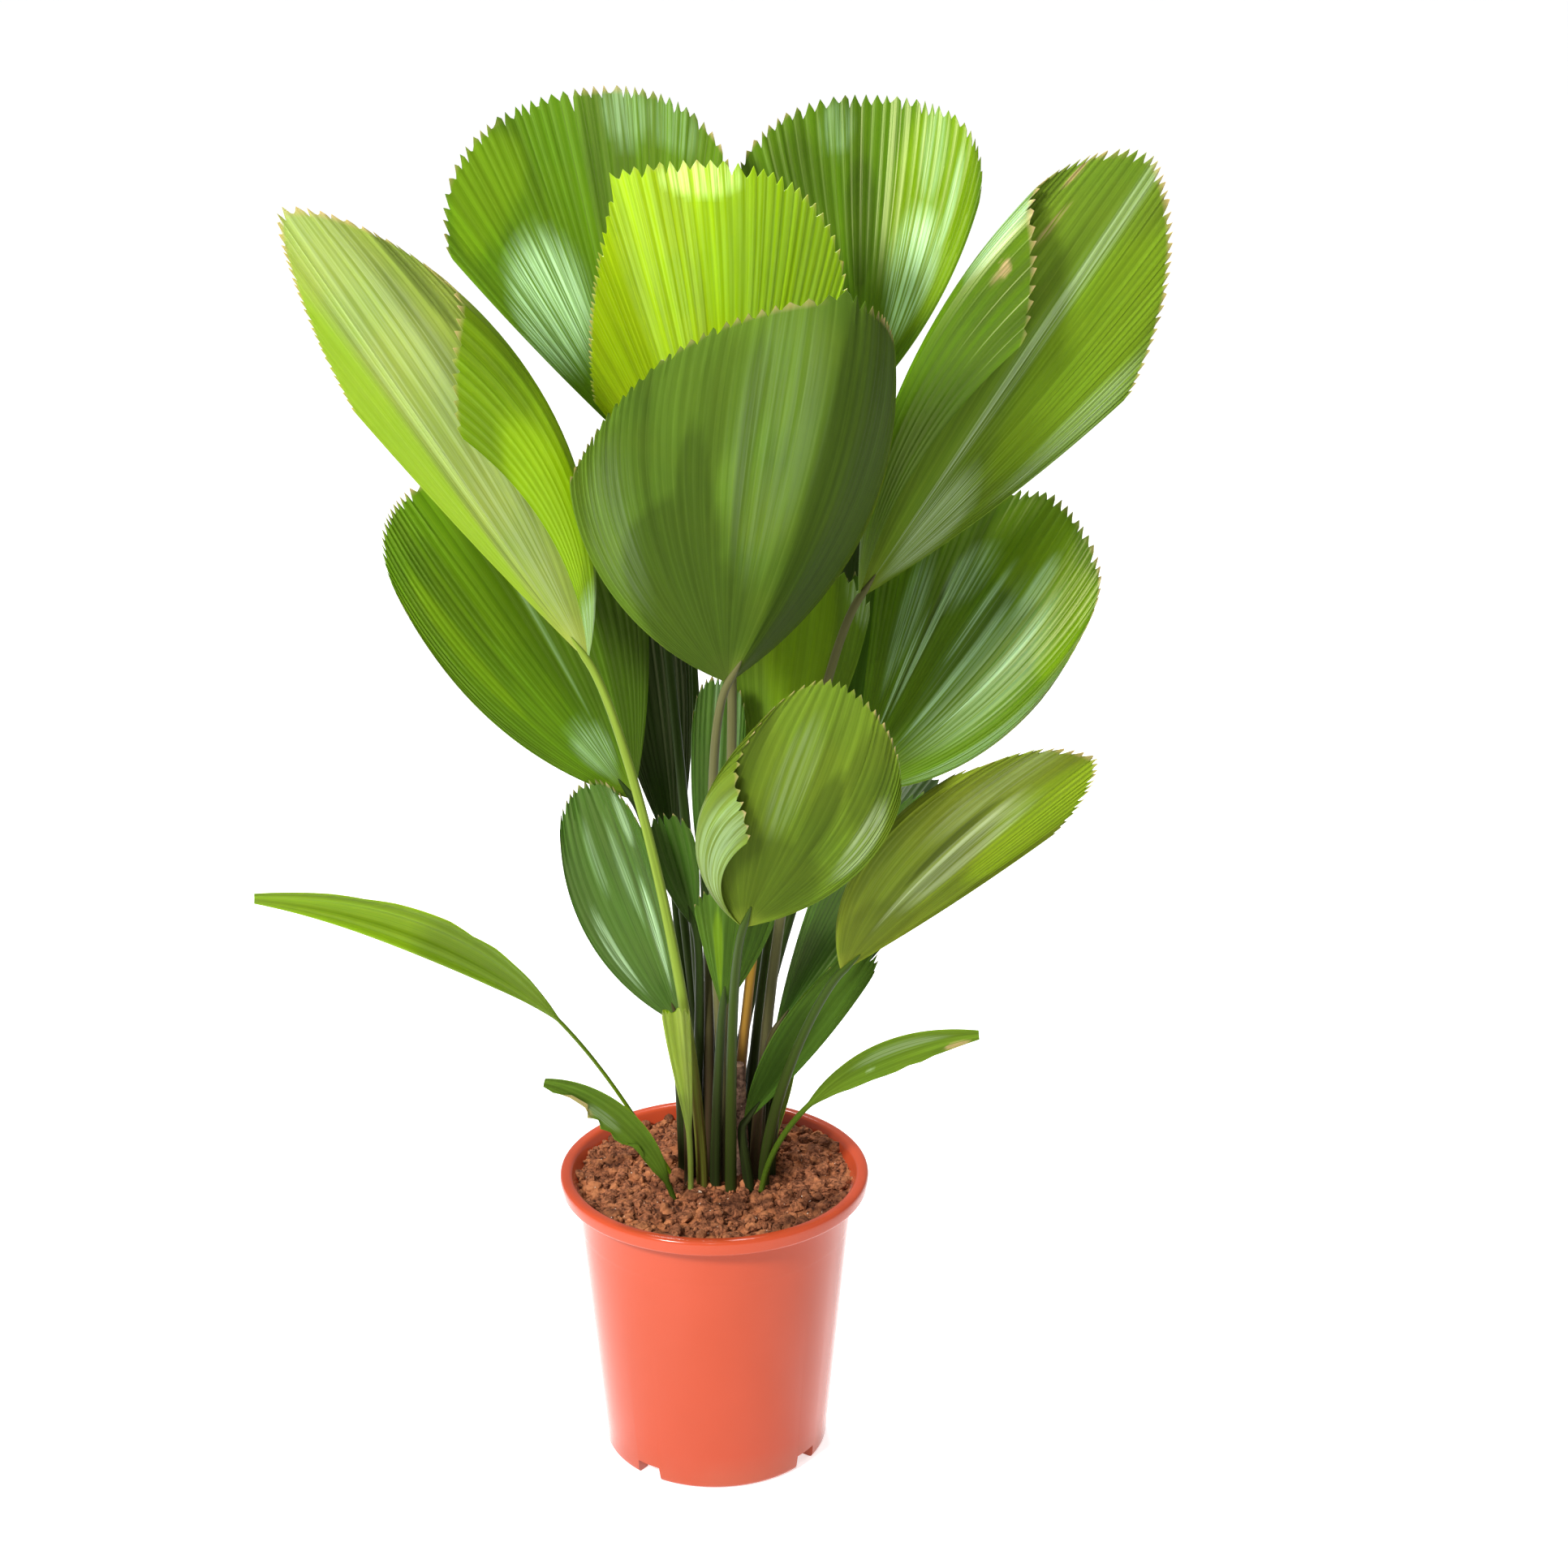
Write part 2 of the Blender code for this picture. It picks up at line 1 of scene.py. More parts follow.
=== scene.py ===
"""The looks of a licuala palm in a nursery pot: pleated fan leaves, stalks, coir soil, coral pot.

Metres, +Z up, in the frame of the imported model. The leaves and the rules that shape a blade are
those of the part's source, written again here and carried to the real pleats and teeth.
"""
import math
import random
from dataclasses import dataclass

import bmesh
import bpy
import numpy as np
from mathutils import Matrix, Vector


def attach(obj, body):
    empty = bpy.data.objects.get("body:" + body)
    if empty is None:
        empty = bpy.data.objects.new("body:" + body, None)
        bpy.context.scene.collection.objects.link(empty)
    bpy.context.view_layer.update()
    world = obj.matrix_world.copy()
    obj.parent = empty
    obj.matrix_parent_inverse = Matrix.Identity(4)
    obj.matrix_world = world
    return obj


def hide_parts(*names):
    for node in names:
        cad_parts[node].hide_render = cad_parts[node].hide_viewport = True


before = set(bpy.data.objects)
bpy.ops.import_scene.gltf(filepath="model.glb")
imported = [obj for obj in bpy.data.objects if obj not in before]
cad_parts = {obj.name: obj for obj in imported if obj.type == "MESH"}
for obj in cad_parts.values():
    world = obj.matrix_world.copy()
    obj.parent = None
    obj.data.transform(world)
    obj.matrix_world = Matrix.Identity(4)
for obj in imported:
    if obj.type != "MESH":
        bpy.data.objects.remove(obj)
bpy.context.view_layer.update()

# Camera: the photograph's place and view
CAMERA_PLACE = (0.054, -2.4, 1.5)
CAMERA_DOWN = 21.5           # degrees below level
CAMERA_LENS = 79.8           # millimetres
CAMERA_SENSOR = 36           # millimetres wide

# Studio
LIGHTS = (                   # name, place, aim, diameter, watts
    ("key", (-1.4, -2.0, 2.2), (0, 0, 0.6), 0.6, 125),
    ("back", (-0.2, 1.5, 2.6), (0, 0, 0.8), 0.9, 70),
    ("glint", (-0.05, -2.1, 2.7), (0, 0, 0.25), 0.25, 12))
WHITE = (1.0, 1.0, 1.0, 1.0)
WORLD_LIGHT = 0.42
FLOOR_GLOW = 0.62            # the floor's own light, which takes its shadows back to the photograph's
FLOOR_SIZE = 40
FLOOR_DROP = 0.0005          # how far it lies below the pot's foot

# Blades
PLEAT_WIDTH = 0.0080         # at the margin
PROFILE = (                  # place in a pleat, height from -1 to 1, share of the notch's depth
    (0.00, -1.0, 1.0), (0.16, -0.55, 0.72), (0.50, 1.0, 0.0), (0.82, -0.55, 0.58))
UNEVEN = 0.25                # how much the pleats differ in width
PLEAT_RISE = 0.075           # half height of a pleat over its width
TOOTH = 1.05                 # depth of a notch over the width of a pleat at the margin
MARGIN = 0.10                # share of the length that the teeth pull back
CUT_REACH = 2.5              # or this many times a notch's own depth, where that is more
WAVES = 0.009                # height of a blade's slow waves over its length
HALF_THICK = 0.00028
HEEL = 0.0045                # radius of the blade's inner edge
STEPS = 48                   # steps along a rib
WALK = 60                    # steps from the middle rib to the last one
BLUR = {"dark": 0.35, "pale": 0.65, "lit": 0.30, "dry": 0.30}   # how softly a mark ends, over its size
ALONG = (0.0, 0.15, 0.3, 0.45, 0.6, 0.75, 0.9, 1.0)   # shares at which the ribs' ways are worked out
ROWS = np.concatenate((np.linspace(0.0, 0.88, 24), np.linspace(0.88, 1.0, 9)[1:]))

# Stalks
STALK_FOOT = 0.0046
STALK_TOP = 0.0030
RISE, ARRIVE = 0.3, 0.12     # how far a stalk keeps its first and last way, over its length
KEEL = 0.022                 # the stalk runs on under the blade for this length
KEEL_DROP = 0.0006           # how far its end leaves the blade
KEEL_END = 0.0004            # radius of its end
STALK_RINGS = 30
STALK_SIDES = 12
ROOT_SINK = 0.004            # how deep what grows stands in the soil

# Shoots
SHOOT_RINGS = 90
SHOOT_SIDES = 40
SHOOT_THICK = 0.0004         # half thickness of the blade
SHOOT_FOLD = 0.25            # how far its edges stand forward, over its half width
SHOOT_PLEATS = 9             # quarter waves from its middle to its edge
SHOOT_RISE = 0.05            # half height of a pleat, over its half width
BITE_RINGS = 4               # rings from one bite of a ragged edge to the next
BLUNT_TEETH = 0.006          # teeth of a young blade's blunt top

# Pot and soil
SOIL_TOP = 0.226
POT_HEIGHT = 0.235
RIM_RADIUS = 0.120
RIM_HEIGHT = 0.0125
MOUTH_RADIUS = 0.111
INNER_STEP = 0.002           # within the rim the wall steps out to the mouth over this height
INSIDE_END = 0.12            # the inside is drawn down to this height, under the soil
SHOULDER_RADIUS = 0.1075
FOOT_RADIUS = 0.087
WALL = 0.003
STEP_HEIGHT = 0.190
POT_SIDES = 160
HOLLOW = 0.004               # how far the underside stands above the ground
HUB = (0.030, 0.033)         # radii of the flat middle of the underside, and of the end of its slope
FOOT_RING = (0.074, 0.076)   # radii of the slope down to the ring that it stands on
GATES = 4                    # notches in its foot
NOTCH_HEIGHT = 0.012
NOTCH_WIDTH = 0.024
NOTCH_DEPTH = 0.030
NOTCH_TAPER = 0.004          # how much a notch narrows over its height
NOTCH_ANGLE = math.radians(54)
SOIL_RINGS, SOIL_SIDES = 90, 240
SOIL_GAP = 0.0006            # between the soil and the wall
CLODS = ((0.022, 0.0022), (0.010, 0.0020), (0.0045, 0.0017), (0.0022, 0.0011))   # width, height
CALM = 0.006                 # the surface is calmer this near to the wall
CRUMBS = 1900
CRUMB_SIZES = (0.0011, 0.0063)    # radii of the finest and the coarsest crumbs
COARSE = 0.003               # from this radius a crumb has the finer mesh
NOISE_GRID = 64


@dataclass
class Leaf:
    """A fan leaf. Left and right are those of someone who looks at the side it shows."""
    name: str
    tone: str
    foot: tuple                  # where its stalk leaves the soil
    heel: tuple                  # where the ribs meet
    tip: tuple                   # end of the middle rib
    turn: float = 0.0            # degrees that its face turns about the middle rib, toward its right
    spread: tuple = (26, 26)     # degrees from the middle rib to the ends of the last ribs
    side: tuple = (0.8, 0.8)     # length of the last ribs over that of the middle one
    power: tuple = (3.0, 3.0)    # how late the ribs shorten
    curl: tuple = (6, 6)         # degrees that the last ribs start outside, and end inside, their chord
    sway: float = 0.0            # the same for the whole leaf, toward its right
    bends: tuple = ((0, 30),)    # folds along a rib: (rib from -1 to 1, degrees toward the front)
    soft: float = 0.2            # half width of a fold, in ribs
    ripple: float = 0.0          # height of three waves across the margin, over the length
    upper: bool = False          # it shows its upper side
    splits: tuple = ()           # deeper cuts in the margin: (rib, share of the length)
    stalk: str = "green"
    dark: tuple = ()             # marks of shade: (rib, share, half width, half length, strength)
    pale: tuple = ()             # of painted sheen above, and of painted light on an under side
    lit: tuple = ()              # of sun behind the leaf
    dry: tuple = ()              # of dead tissue


@dataclass
class SmallLeaf:
    """A narrow leaf of a young shoot: its stalk widens into the blade."""
    name: str
    tone: str
    foot: tuple
    tip: tuple
    rise: tuple                  # the way it leaves the soil
    reach: tuple                 # the way it arrives at its tip
    heel: float                  # share of its curve where the blade begins
    width: float
    radius: float = 0.0022
    full: float = 0.95           # share of the whole spindle that its blade runs through
    ragged: tuple = (0.0, 0.0)   # depth of the teeth on its two edges, over its half width
    upper: bool = False
    dark: tuple = ()             # marks as on a fan leaf, with the place across it for the rib
    pale: tuple = ()
    lit: tuple = ()
    dry: tuple = ()


LEAVES = (
    Leaf("back_left_top", "green", (-0.006, 0.024), (-0.052, 0.1, 0.779), (-0.103, 0.15, 1.041),
         spread=(33, 31), side=(0.76, 0.8), curl=(3, 5), upper=True,
         splits=((0.02, 0.06),), dark=((0.17, 0.74, 0.16, 0.36, 0.55),),
         pale=((-0.6, 0.5, 0.38, 0.18, 0.75), (0.28, 0.93, 0.12, 0.09, 0.3),
               (0.55, 0.93, 0.16, 0.07, 0.18)),
         lit=((-0.6, 0.88, 0.3, 0.12, 0.25),)),
    Leaf("back_right_top", "green", (0.026, 0.03), (0.112, 0.12, 0.811), (0.125, 0.18, 1.032),
         spread=(33, 29), side=(0.84, 0.8), power=(3.0, 4.5), curl=(8, 16), bends=((0.1, 35),),
         upper=True,
         dark=((-0.55, 0.58, 0.25, 0.36, 0.45), (-0.1, 0.58, 0.12, 0.22, 0.65),
               (0.2, 0.66, 0.07, 0.12, 0.65)),
         pale=((0.46, 0.46, 0.26, 0.2, 0.9), (0.42, 0.86, 0.1, 0.16, 0.35),
               (0.66, 0.74, 0.04, 0.18, 0.7), (-0.25, 0.9, 0.1, 0.08, 0.25)),
         lit=((0.55, 0.66, 0.42, 0.4, 0.55),)),
    Leaf("young_centre", "young", (0.005, 0.014), (0.01, -0.02, 0.735), (-0.066, -0.035, 1.018),
         spread=(33, 56), side=(0.5, 0.5), power=(0.6, 2.8), curl=(2, 8),
         bends=((-0.08, -50), (0.32, -28)), stalk="dun",
         dark=((-0.55, 0.7, 0.5, 0.6, 0.6),),
         pale=((0.22, 0.96, 0.1, 0.05, 1), (0.08, 0.8, 0.14, 0.35, 0.15), (0.6, 0.8, 0.4, 0.3, 0.12)),
         lit=((0.6, 0.78, 0.4, 0.42, 0.8),)),
    Leaf("front_top", "forest", (0.008, -0.001), (0.015, -0.11, 0.674), (0.096, -0.2, 0.979),
         spread=(54, 31), side=(0.6, 0.68), power=(0.8, 1.2), curl=(50, 33), sway=11,
         bends=((0.06, -70),), stalk="dun",
         splits=((-0.92, 0.07), (-0.8, 0.06), (-0.68, 0.045)),
         dark=((0.62, 0.5, 0.62, 1.1, 0.62), (0.16, 0.5, 0.15, 0.7, 0.72),
               (0.04, 0.55, 0.045, 0.5, 0.95), (-0.55, 0.16, 0.5, 0.28, 0.75),
               (-0.32, 0.45, 0.07, 0.3, 0.75), (-0.42, 0.78, 0.3, 0.22, 0.3),
               (-0.52, 0.38, 0.32, 0.2, 0.75), (-0.3, 0.7, 0.03, 0.24, 0.45),
               (-0.5, 0.74, 0.03, 0.2, 0.45), (-0.66, 0.72, 0.03, 0.2, 0.45),
               (-0.17, 0.6, 0.02, 0.36, 0.5)),
         pale=((-0.11, 0.66, 0.1, 0.34, 0.08), (-0.75, 0.62, 0.16, 0.26, 0.12))),
    Leaf("left_high", "lime", (-0.009, -0.012), (-0.085, -0.076, 0.678), (-0.285, -0.096, 1.007),
         spread=(15, 25), side=(0.62, 0.52), power=(1.0, 1.3), curl=(4, 37),
         bends=((-0.05, -50), (0.57, 160)), soft=0.12, stalk="yellow",
         dark=((-0.72, 0.66, 0.48, 0.5, 0.4), (0.3, 0.88, 0.04, 0.14, 0.7), (0.18, 0.6, 0.03, 0.3, 0.4),
               (-0.22, 0.45, 0.04, 0.35, 0.45), (0.6, 0.9, 0.2, 0.14, 0.45),
               (0.8, 0.86, 0.26, 0.18, 0.3)),
         pale=((0.05, 0.6, 0.16, 0.6, 0.25), (0.8, 0.08, 0.4, 0.12, 0.6)),
         lit=((-0.72, 0.66, 0.5, 0.5, 0.5), (0.88, 0.52, 0.22, 0.28, 0.62)),
         dry=((0.5, 0.97, 0.08, 0.05, 0.4),)),
    Leaf("left_middle", "green", (-0.024, 0.011), (-0.058, 0.0, 0.542), (-0.22, 0.03, 0.773),
         turn=30, spread=(15, 36), side=(0.78, 0.75), curl=(23, 12), bends=((0.1, 20),), upper=True,
         dark=((0.28, 0.55, 0.28, 0.45, 0.55), (-0.32, 0.66, 0.1, 0.25, 0.4),
               (0.8, 0.36, 0.3, 0.4, 0.95), (0.12, 0.6, 0.02, 0.35, 0.8),
               (0.22, 0.55, 0.02, 0.38, 0.85), (0.33, 0.5, 0.02, 0.38, 0.8),
               (0.44, 0.5, 0.02, 0.36, 0.7), (-0.75, 0.55, 0.35, 0.3, 0.25),
               (-0.15, 0.72, 0.05, 0.18, 0.5), (-0.34, 0.78, 0.03, 0.12, 0.5)),
         pale=((0.17, 0.55, 0.02, 0.3, 0.15), (0.38, 0.5, 0.02, 0.3, 0.2),
               (0.45, 0.85, 0.3, 0.14, 0.18), (-0.05, 0.16, 0.3, 0.08, 0.35)),
         lit=((-0.45, 0.62, 0.1, 0.25, 0.2),)),
    Leaf("right_high", "green", (0.034, 0.019), (0.108, -0.02, 0.706), (0.309, -0.02, 1.026),
         turn=15, spread=(21, 21.5), side=(0.62, 0.64), power=(2.0, 1.25), curl=(32, 7),
         bends=((-0.56, 155),), stalk="dun",
         dark=((-0.86, 0.6, 0.2, 0.5, 0.35), (-0.36, 0.6, 0.07, 0.35, 0.5), (0.3, 0.5, 0.05, 0.3, 0.3)),
         pale=((-0.57, 0.9, 0.06, 0.1, 0.7), (0.04, 0.58, 0.05, 0.55, 0.6),
               (0.85, 0.72, 0.14, 0.25, 0.45), (0.5, 0.22, 0.4, 0.14, 0.8)),
         lit=((0.45, 0.7, 0.38, 0.3, 0.25),),
         dry=((-0.7, 0.9, 0.03, 0.02, 1), (-0.22, 0.82, 0.02, 0.03, 0.8),
              (-0.3, 0.95, 0.02, 0.03, 0.8))),
    Leaf("right_middle", "green", (0.043, 0.008), (0.106, 0.05, 0.529), (0.257, 0.09, 0.751),
         turn=-30, spread=(28, 31), side=(0.66, 0.66), power=(1.3, 2.8), curl=(0, 27),
         ripple=0.02, upper=True,
         dark=((-0.5, 0.45, 0.3, 0.3, 0.2), (-0.36, 0.5, 0.03, 0.25, 0.8)),
         pale=((-0.6, 0.6, 0.12, 0.22, 0.36), (-0.31, 0.5, 0.03, 0.22, 0.8),
               (-0.42, 0.4, 0.03, 0.2, 0.8), (-0.22, 0.72, 0.14, 0.1, 0.45),
               (0.3, 0.5, 0.3, 0.28, 0.24), (0.14, 0.46, 0.03, 0.24, 0.7),
               (0.34, 0.55, 0.03, 0.26, 0.75), (0.02, 0.6, 0.025, 0.16, 0.6),
               (0.22, 0.78, 0.05, 0.1, 0.5), (0.86, 0.55, 0.1, 0.4, 0.28)),
         lit=((0.05, 0.85, 0.3, 0.14, 0.35), (0.5, 0.82, 0.22, 0.14, 0.3))),
    Leaf("front_low", "moss", (0.013, -0.018), (0.025, -0.13, 0.496), (0.088, -0.22, 0.716),
         spread=(23, 25), side=(0.42, 0.73), power=(1.8, 1.7), curl=(49, 31), bends=((-0.7, 150),),
         soft=0.15, stalk="olive",
         dark=((-0.3, 0.6, 0.1, 0.32, 0.6), (0.22, 0.5, 0.09, 0.2, 0.6), (0.5, 0.78, 0.24, 0.2, 0.4),
               (0, 0.22, 0.9, 0.17, 0.55)),
         pale=((-0.88, 0.65, 0.12, 0.4, 0.25), (-0.02, 0.62, 0.09, 0.22, 0.16),
               (0.7, 0.6, 0.15, 0.18, 0.5))),
    Leaf("front_right_low", "olive", (0.038, -0.01), (0.096, -0.086, 0.441), (0.271, -0.147, 0.633),
         turn=25, spread=(22, 10), side=(0.74, 0.725), power=(3.2, 1.4), curl=(32, 8), sway=-4,
         bends=((-0.78, -80),), stalk="olive",
         dark=((-0.2, 0.56, 0.03, 0.2, 0.85), (-0.08, 0.46, 0.03, 0.22, 0.7),
               (-0.62, 0.6, 0.1, 0.3, 0.4), (0, 0.16, 0.7, 0.16, 0.4), (0.8, 0.7, 0.15, 0.2, 0.4)),
         pale=((-0.14, 0.5, 0.03, 0.28, 0.7), (-0.32, 0.82, 0.12, 0.26, 0.22),
               (-0.06, 0.54, 0.12, 0.24, 0.4)),
         lit=((0.35, 0.8, 0.45, 0.3, 0.35),)),
    Leaf("left_low", "deep", (-0.019, 0.001), (-0.025, -0.01, 0.362), (-0.092, -0.012, 0.562),
         spread=(12, 12), side=(0.84, 0.7), curl=(30, 10), bends=((0.1, 30),), upper=True,
         stalk="brown",
         dark=((-0.65, 0.6, 0.25, 0.4, 0.3), (0.18, 0.55, 0.03, 0.3, 0.5)),
         pale=((0.05, 0.62, 0.06, 0.2, 0.28), (0.3, 0.38, 0.12, 0.2, 0.6),
               (-0.22, 0.72, 0.05, 0.14, 0.22), (-0.5, 0.37, 0.1, 0.18, 0.45),
               (0.4, 0.86, 0.1, 0.1, 0.4))),
    Leaf("inner_left", "deep", (-0.0035, 0.008), (-0.003, 0.024, 0.436), (0.006, 0.03, 0.63),
         spread=(7, 8), curl=(8, 8), bends=(), upper=True, stalk="brown",
         pale=((0, 0.6, 0.12, 0.5, 0.25), (0.6, 0.6, 0.08, 0.5, 0.15))),
    Leaf("inner_left_low", "deep", (-0.0145, 0.0165), (-0.013, 0.01, 0.432), (-0.038, 0.018, 0.524),
         spread=(13, 15), curl=(12, 12), upper=True),
    Leaf("inner_low", "deep", (0.001, -0.011), (0.008, -0.05, 0.393), (0.018, -0.07, 0.5),
         spread=(20, 24), curl=(4, 10), bends=((0, -40),),
         dark=((0.55, 0.5, 0.35, 0.6, 0.6), (-0.05, 0.5, 0.1, 0.5, 0.55)),
         pale=((0.25, 0.6, 0.06, 0.3, 0.25),), lit=((-0.35, 0.45, 0.16, 0.35, 0.3),)),
    Leaf("inner_centre", "green", (0.016, 0.016), (0.044, 0.04, 0.516), (0.065, 0.06, 0.71),
         spread=(22, 21), side=(0.85, 0.9), curl=(14, 18), bends=((0, -40),), stalk="orange",
         pale=((0.8, 0.95, 0.2, 0.08, 0.5),), lit=((0.1, 0.72, 0.4, 0.4, 0.4),)),
    Leaf("inner_right", "deep", (0.044, 0.031), (0.101, 0.12, 0.511), (0.138, 0.16, 0.671),
         spread=(16, 10), side=(0.85, 0.8), curl=(10, 6), bends=((0, -40),)),
    Leaf("right_low", "deep", (0.031, 0.003), (0.047, -0.012, 0.358), (0.166, 0.03, 0.537),
         spread=(18, 12), side=(0.68, 0.7), power=(1.2, 3.0), curl=(6, 20),
         upper=True, stalk="brown",
         dark=((-0.3, 0.45, 0.4, 0.45, 0.45),), pale=((0.3, 0.7, 0.1, 0.25, 0.25),)),
    Leaf("right_lowest", "deep", (0.027, -0.015), (0.023, -0.022, 0.284), (0.121, -0.01, 0.428),
         spread=(9, 5), side=(0.8, 0.9), curl=(22, 8), bends=((0, 40),),
         dark=((-0.3, 0.3, 0.6, 0.35, 0.4),)),
    Leaf("back_left", "green", (-0.019, 0.026), (-0.058, 0.15, 0.541), (-0.205, 0.28, 0.666),
         turn=-40, spread=(30, 32), upper=True),
    Leaf("back_right", "green", (0.021, 0.046), (0.12, 0.16, 0.537), (0.257, 0.29, 0.636),
         turn=40, spread=(30, 28), upper=True),
    Leaf("back_centre", "shade", (0.01, 0.034), (0.101, 0.185, 0.596), (0.139, 0.26, 0.769),
         spread=(14, 14), curl=(8, 8), upper=True),
    Leaf("back_high", "green", (-0.001, 0.047), (-0.024, 0.23, 0.652), (-0.047, 0.35, 0.826),
         turn=-20, spread=(20, 30), upper=True),
    Leaf("back_left_low", "shade", (-0.008, 0.036), (-0.029, 0.072, 0.463), (-0.056, 0.102, 0.67),
         spread=(12, 12), curl=(8, 8), upper=True),
    Leaf("back_right_low", "deep", (0.036, 0.054), (0.107, 0.132, 0.429), (0.175, 0.272, 0.471),
         turn=20, spread=(28, 28), upper=True),
)

SMALL_LEAVES = (
    SmallLeaf("far_left", "lime", (-0.032, 0.008), (-0.336, -0.05, 0.484),
              rise=(-0.06, 0, 0.105), reach=(-0.196, 0, 0.01), heel=0.44, width=0.036, radius=0.0016,
              ragged=(0.0, 0.15), upper=True,
              dark=((0, 0, 9, 0.42, 0.5), (0, 0.52, 9, 0.24, 0.6), (0.8, 0.8, 0.5, 0.3, 0.35),
                    (0, 0.78, 9, 0.3, 0.15))),
    SmallLeaf("near_left", "forest", (-0.029, -0.039), (-0.125, -0.07, 0.343),
              rise=(-0.006, 0, 0.035), reach=(-0.05, -0.005, 0.012), heel=0.18, width=0.027,
              ragged=(0.9, 0.0),
              dark=((0, 0, 9, 0.25, 0.6),), pale=((-0.4, 0.66, 0.3, 0.1, 0.25),),
              dry=((-0.8, 0.8, 0.3, 0.1, 0.6),)),
    SmallLeaf("upright", "lime", (-0.018, -0.024), (-0.027, -0.04, 0.385),
              rise=(0.002, 0, 0.06), reach=(-0.004, 0, 0.05), heel=0.34, width=0.023, full=0.36,
              dark=((0.7, 0.7, 0.4, 0.4, 0.5), (0, 0.3, 9, 0.25, 0.4)),
              lit=((-0.4, 0.8, 0.5, 0.3, 0.2),)),
    SmallLeaf("far_right", "green", (0.036, -0.022), (0.203, 0.0, 0.349),
              rise=(0.008, 0, 0.075), reach=(0.085, 0, 0.008), heel=0.4, width=0.028,
              ragged=(0.0, 0.12),
              dark=((0, 0, 9, 0.38, 0.75),),
              pale=((0.3, 0.64, 0.12, 0.012, 1), (-0.3, 0.75, 0.3, 0.15, 0.35)),
              dry=((0.7, 0.93, 0.3, 0.04, 0.8),)),
    SmallLeaf("yellow", "lime", (0.044, 0.019), (0.062, 0.03, 0.317),
              rise=(0.002, 0, 0.05), reach=(0.01, 0, 0.04), heel=0.2, width=0.011),
)

# The stub of old stem among the stalks
STEM_FOOT = (0.0195, 0.002)
STEM_TOP = (0.0185, 0.004, 0.322)
STEM_RADII = (0.0065, 0.0072, 0.0058, 0.0050)
STEM_RINGS, STEM_SIDES = 30, 24
STEM_ROUGH = 0.12


def unit(vector):
    vector = np.asarray(vector, float)
    return vector / np.linalg.norm(vector)


def turned(a, b, degrees):
    """The square pair a, b turned by an angle from a toward b."""
    c, s = math.cos(math.radians(degrees)), math.sin(math.radians(degrees))
    return a * c + b * s, b * c - a * s


def front_of(along):
    """The direction nearest the plant's front that is square to a line."""
    front = np.array((0.0, -1.0, 0.0))
    return unit(front - along * (front @ along))


def length_of(leaf):
    return float(np.linalg.norm(np.subtract(leaf.tip, leaf.heel)))


def ribs_at(leaf, share):
    """Directions and face normals of all ribs, left to right, at one share of their length."""
    out = 1 - 2 * share
    middle = unit(np.subtract(leaf.tip, leaf.heel))
    normal = front_of(middle)
    across = np.cross(middle, normal)
    normal, across = turned(normal, across, leaf.turn)
    middle, across = turned(middle, across, leaf.sway * out)
    halves = []
    for way in (-1, 1):
        right = way > 0
        rib, side, face = middle, across * way, normal
        rows = [(rib, face)]
        for step in range(WALK):
            s = (step + 0.5) / WALK
            curl = leaf.curl[right] * out * 2 * (1 - s)
            rib, side = turned(rib, side, (leaf.spread[right] + curl) / WALK)
            fold = 0.0
            for place, degrees in leaf.bends:
                off = abs(s * way - place) / leaf.soft
                if off < 1:
                    fold += degrees * (1 + math.cos(math.pi * off)) / 2 / leaf.soft / WALK
            side, face = turned(side, face, fold)
            rows.append((rib, face))
        halves.append(rows)
    rows = halves[0][:0:-1] + halves[1]
    return np.array([r[0] for r in rows]), np.array([r[1] for r in rows])


def blend(table, s, share):
    """Directions read from the ribs' table at rib s (-1 to 1) and at a share of the length."""
    column = (np.asarray(s) + 1) / 2 * (table.shape[1] - 1)
    row = np.interp(share, ALONG, np.arange(len(ALONG)))
    c = np.clip(column.astype(int), 0, table.shape[1] - 2)
    r = np.clip(row.astype(int), 0, table.shape[0] - 2)
    u, v = (column - c)[..., None], (row - r)[..., None]
    near = table[r, c] * (1 - u) + table[r, c + 1] * u
    far = table[r + 1, c] * (1 - u) + table[r + 1, c + 1] * u
    both = near * (1 - v) + far * v
    return both / np.linalg.norm(both, axis=-1, keepdims=True)


def blade_surface(leaf, ribs, shares):
    """Points and normals of the leaf's middle surface: a row for each rib, at its own shares."""
    both = [ribs_at(leaf, share) for share in ALONG]
    directions, normals = np.array([b[0] for b in both]), np.array([b[1] for b in both])
    even = np.linspace(0, 1, STEPS + 1)
    s_grid, t_grid = np.meshgrid(ribs, even, indexing="ij")
    ways = blend(directions, s_grid, t_grid)
    path = np.zeros_like(ways)
    path[:, 1:] = np.cumsum((ways[:, 1:] + ways[:, :-1]) / 2 / STEPS, axis=1)
    step = np.clip((shares * STEPS).astype(int), 0, STEPS - 1)
    part = (shares * STEPS - step)[..., None]
    row = np.arange(len(ribs))[:, None]
    reached = path[row, step] * (1 - part) + path[row, step + 1] * part
    side = np.where(ribs < 0, leaf.side[0], leaf.side[1])
    power = np.where(ribs < 0, leaf.power[0], leaf.power[1])
    lengths = length_of(leaf) * (1 - (1 - side) * np.abs(ribs) ** power)
    faces = blend(normals, np.broadcast_to(ribs[:, None], shares.shape), shares)
    wave = leaf.ripple * length_of(leaf) * shares ** 2 * np.sin(3 * math.pi * ribs)[:, None]
    return reached * lengths[:, None, None] + np.array(leaf.heel) + faces * wave[..., None], faces


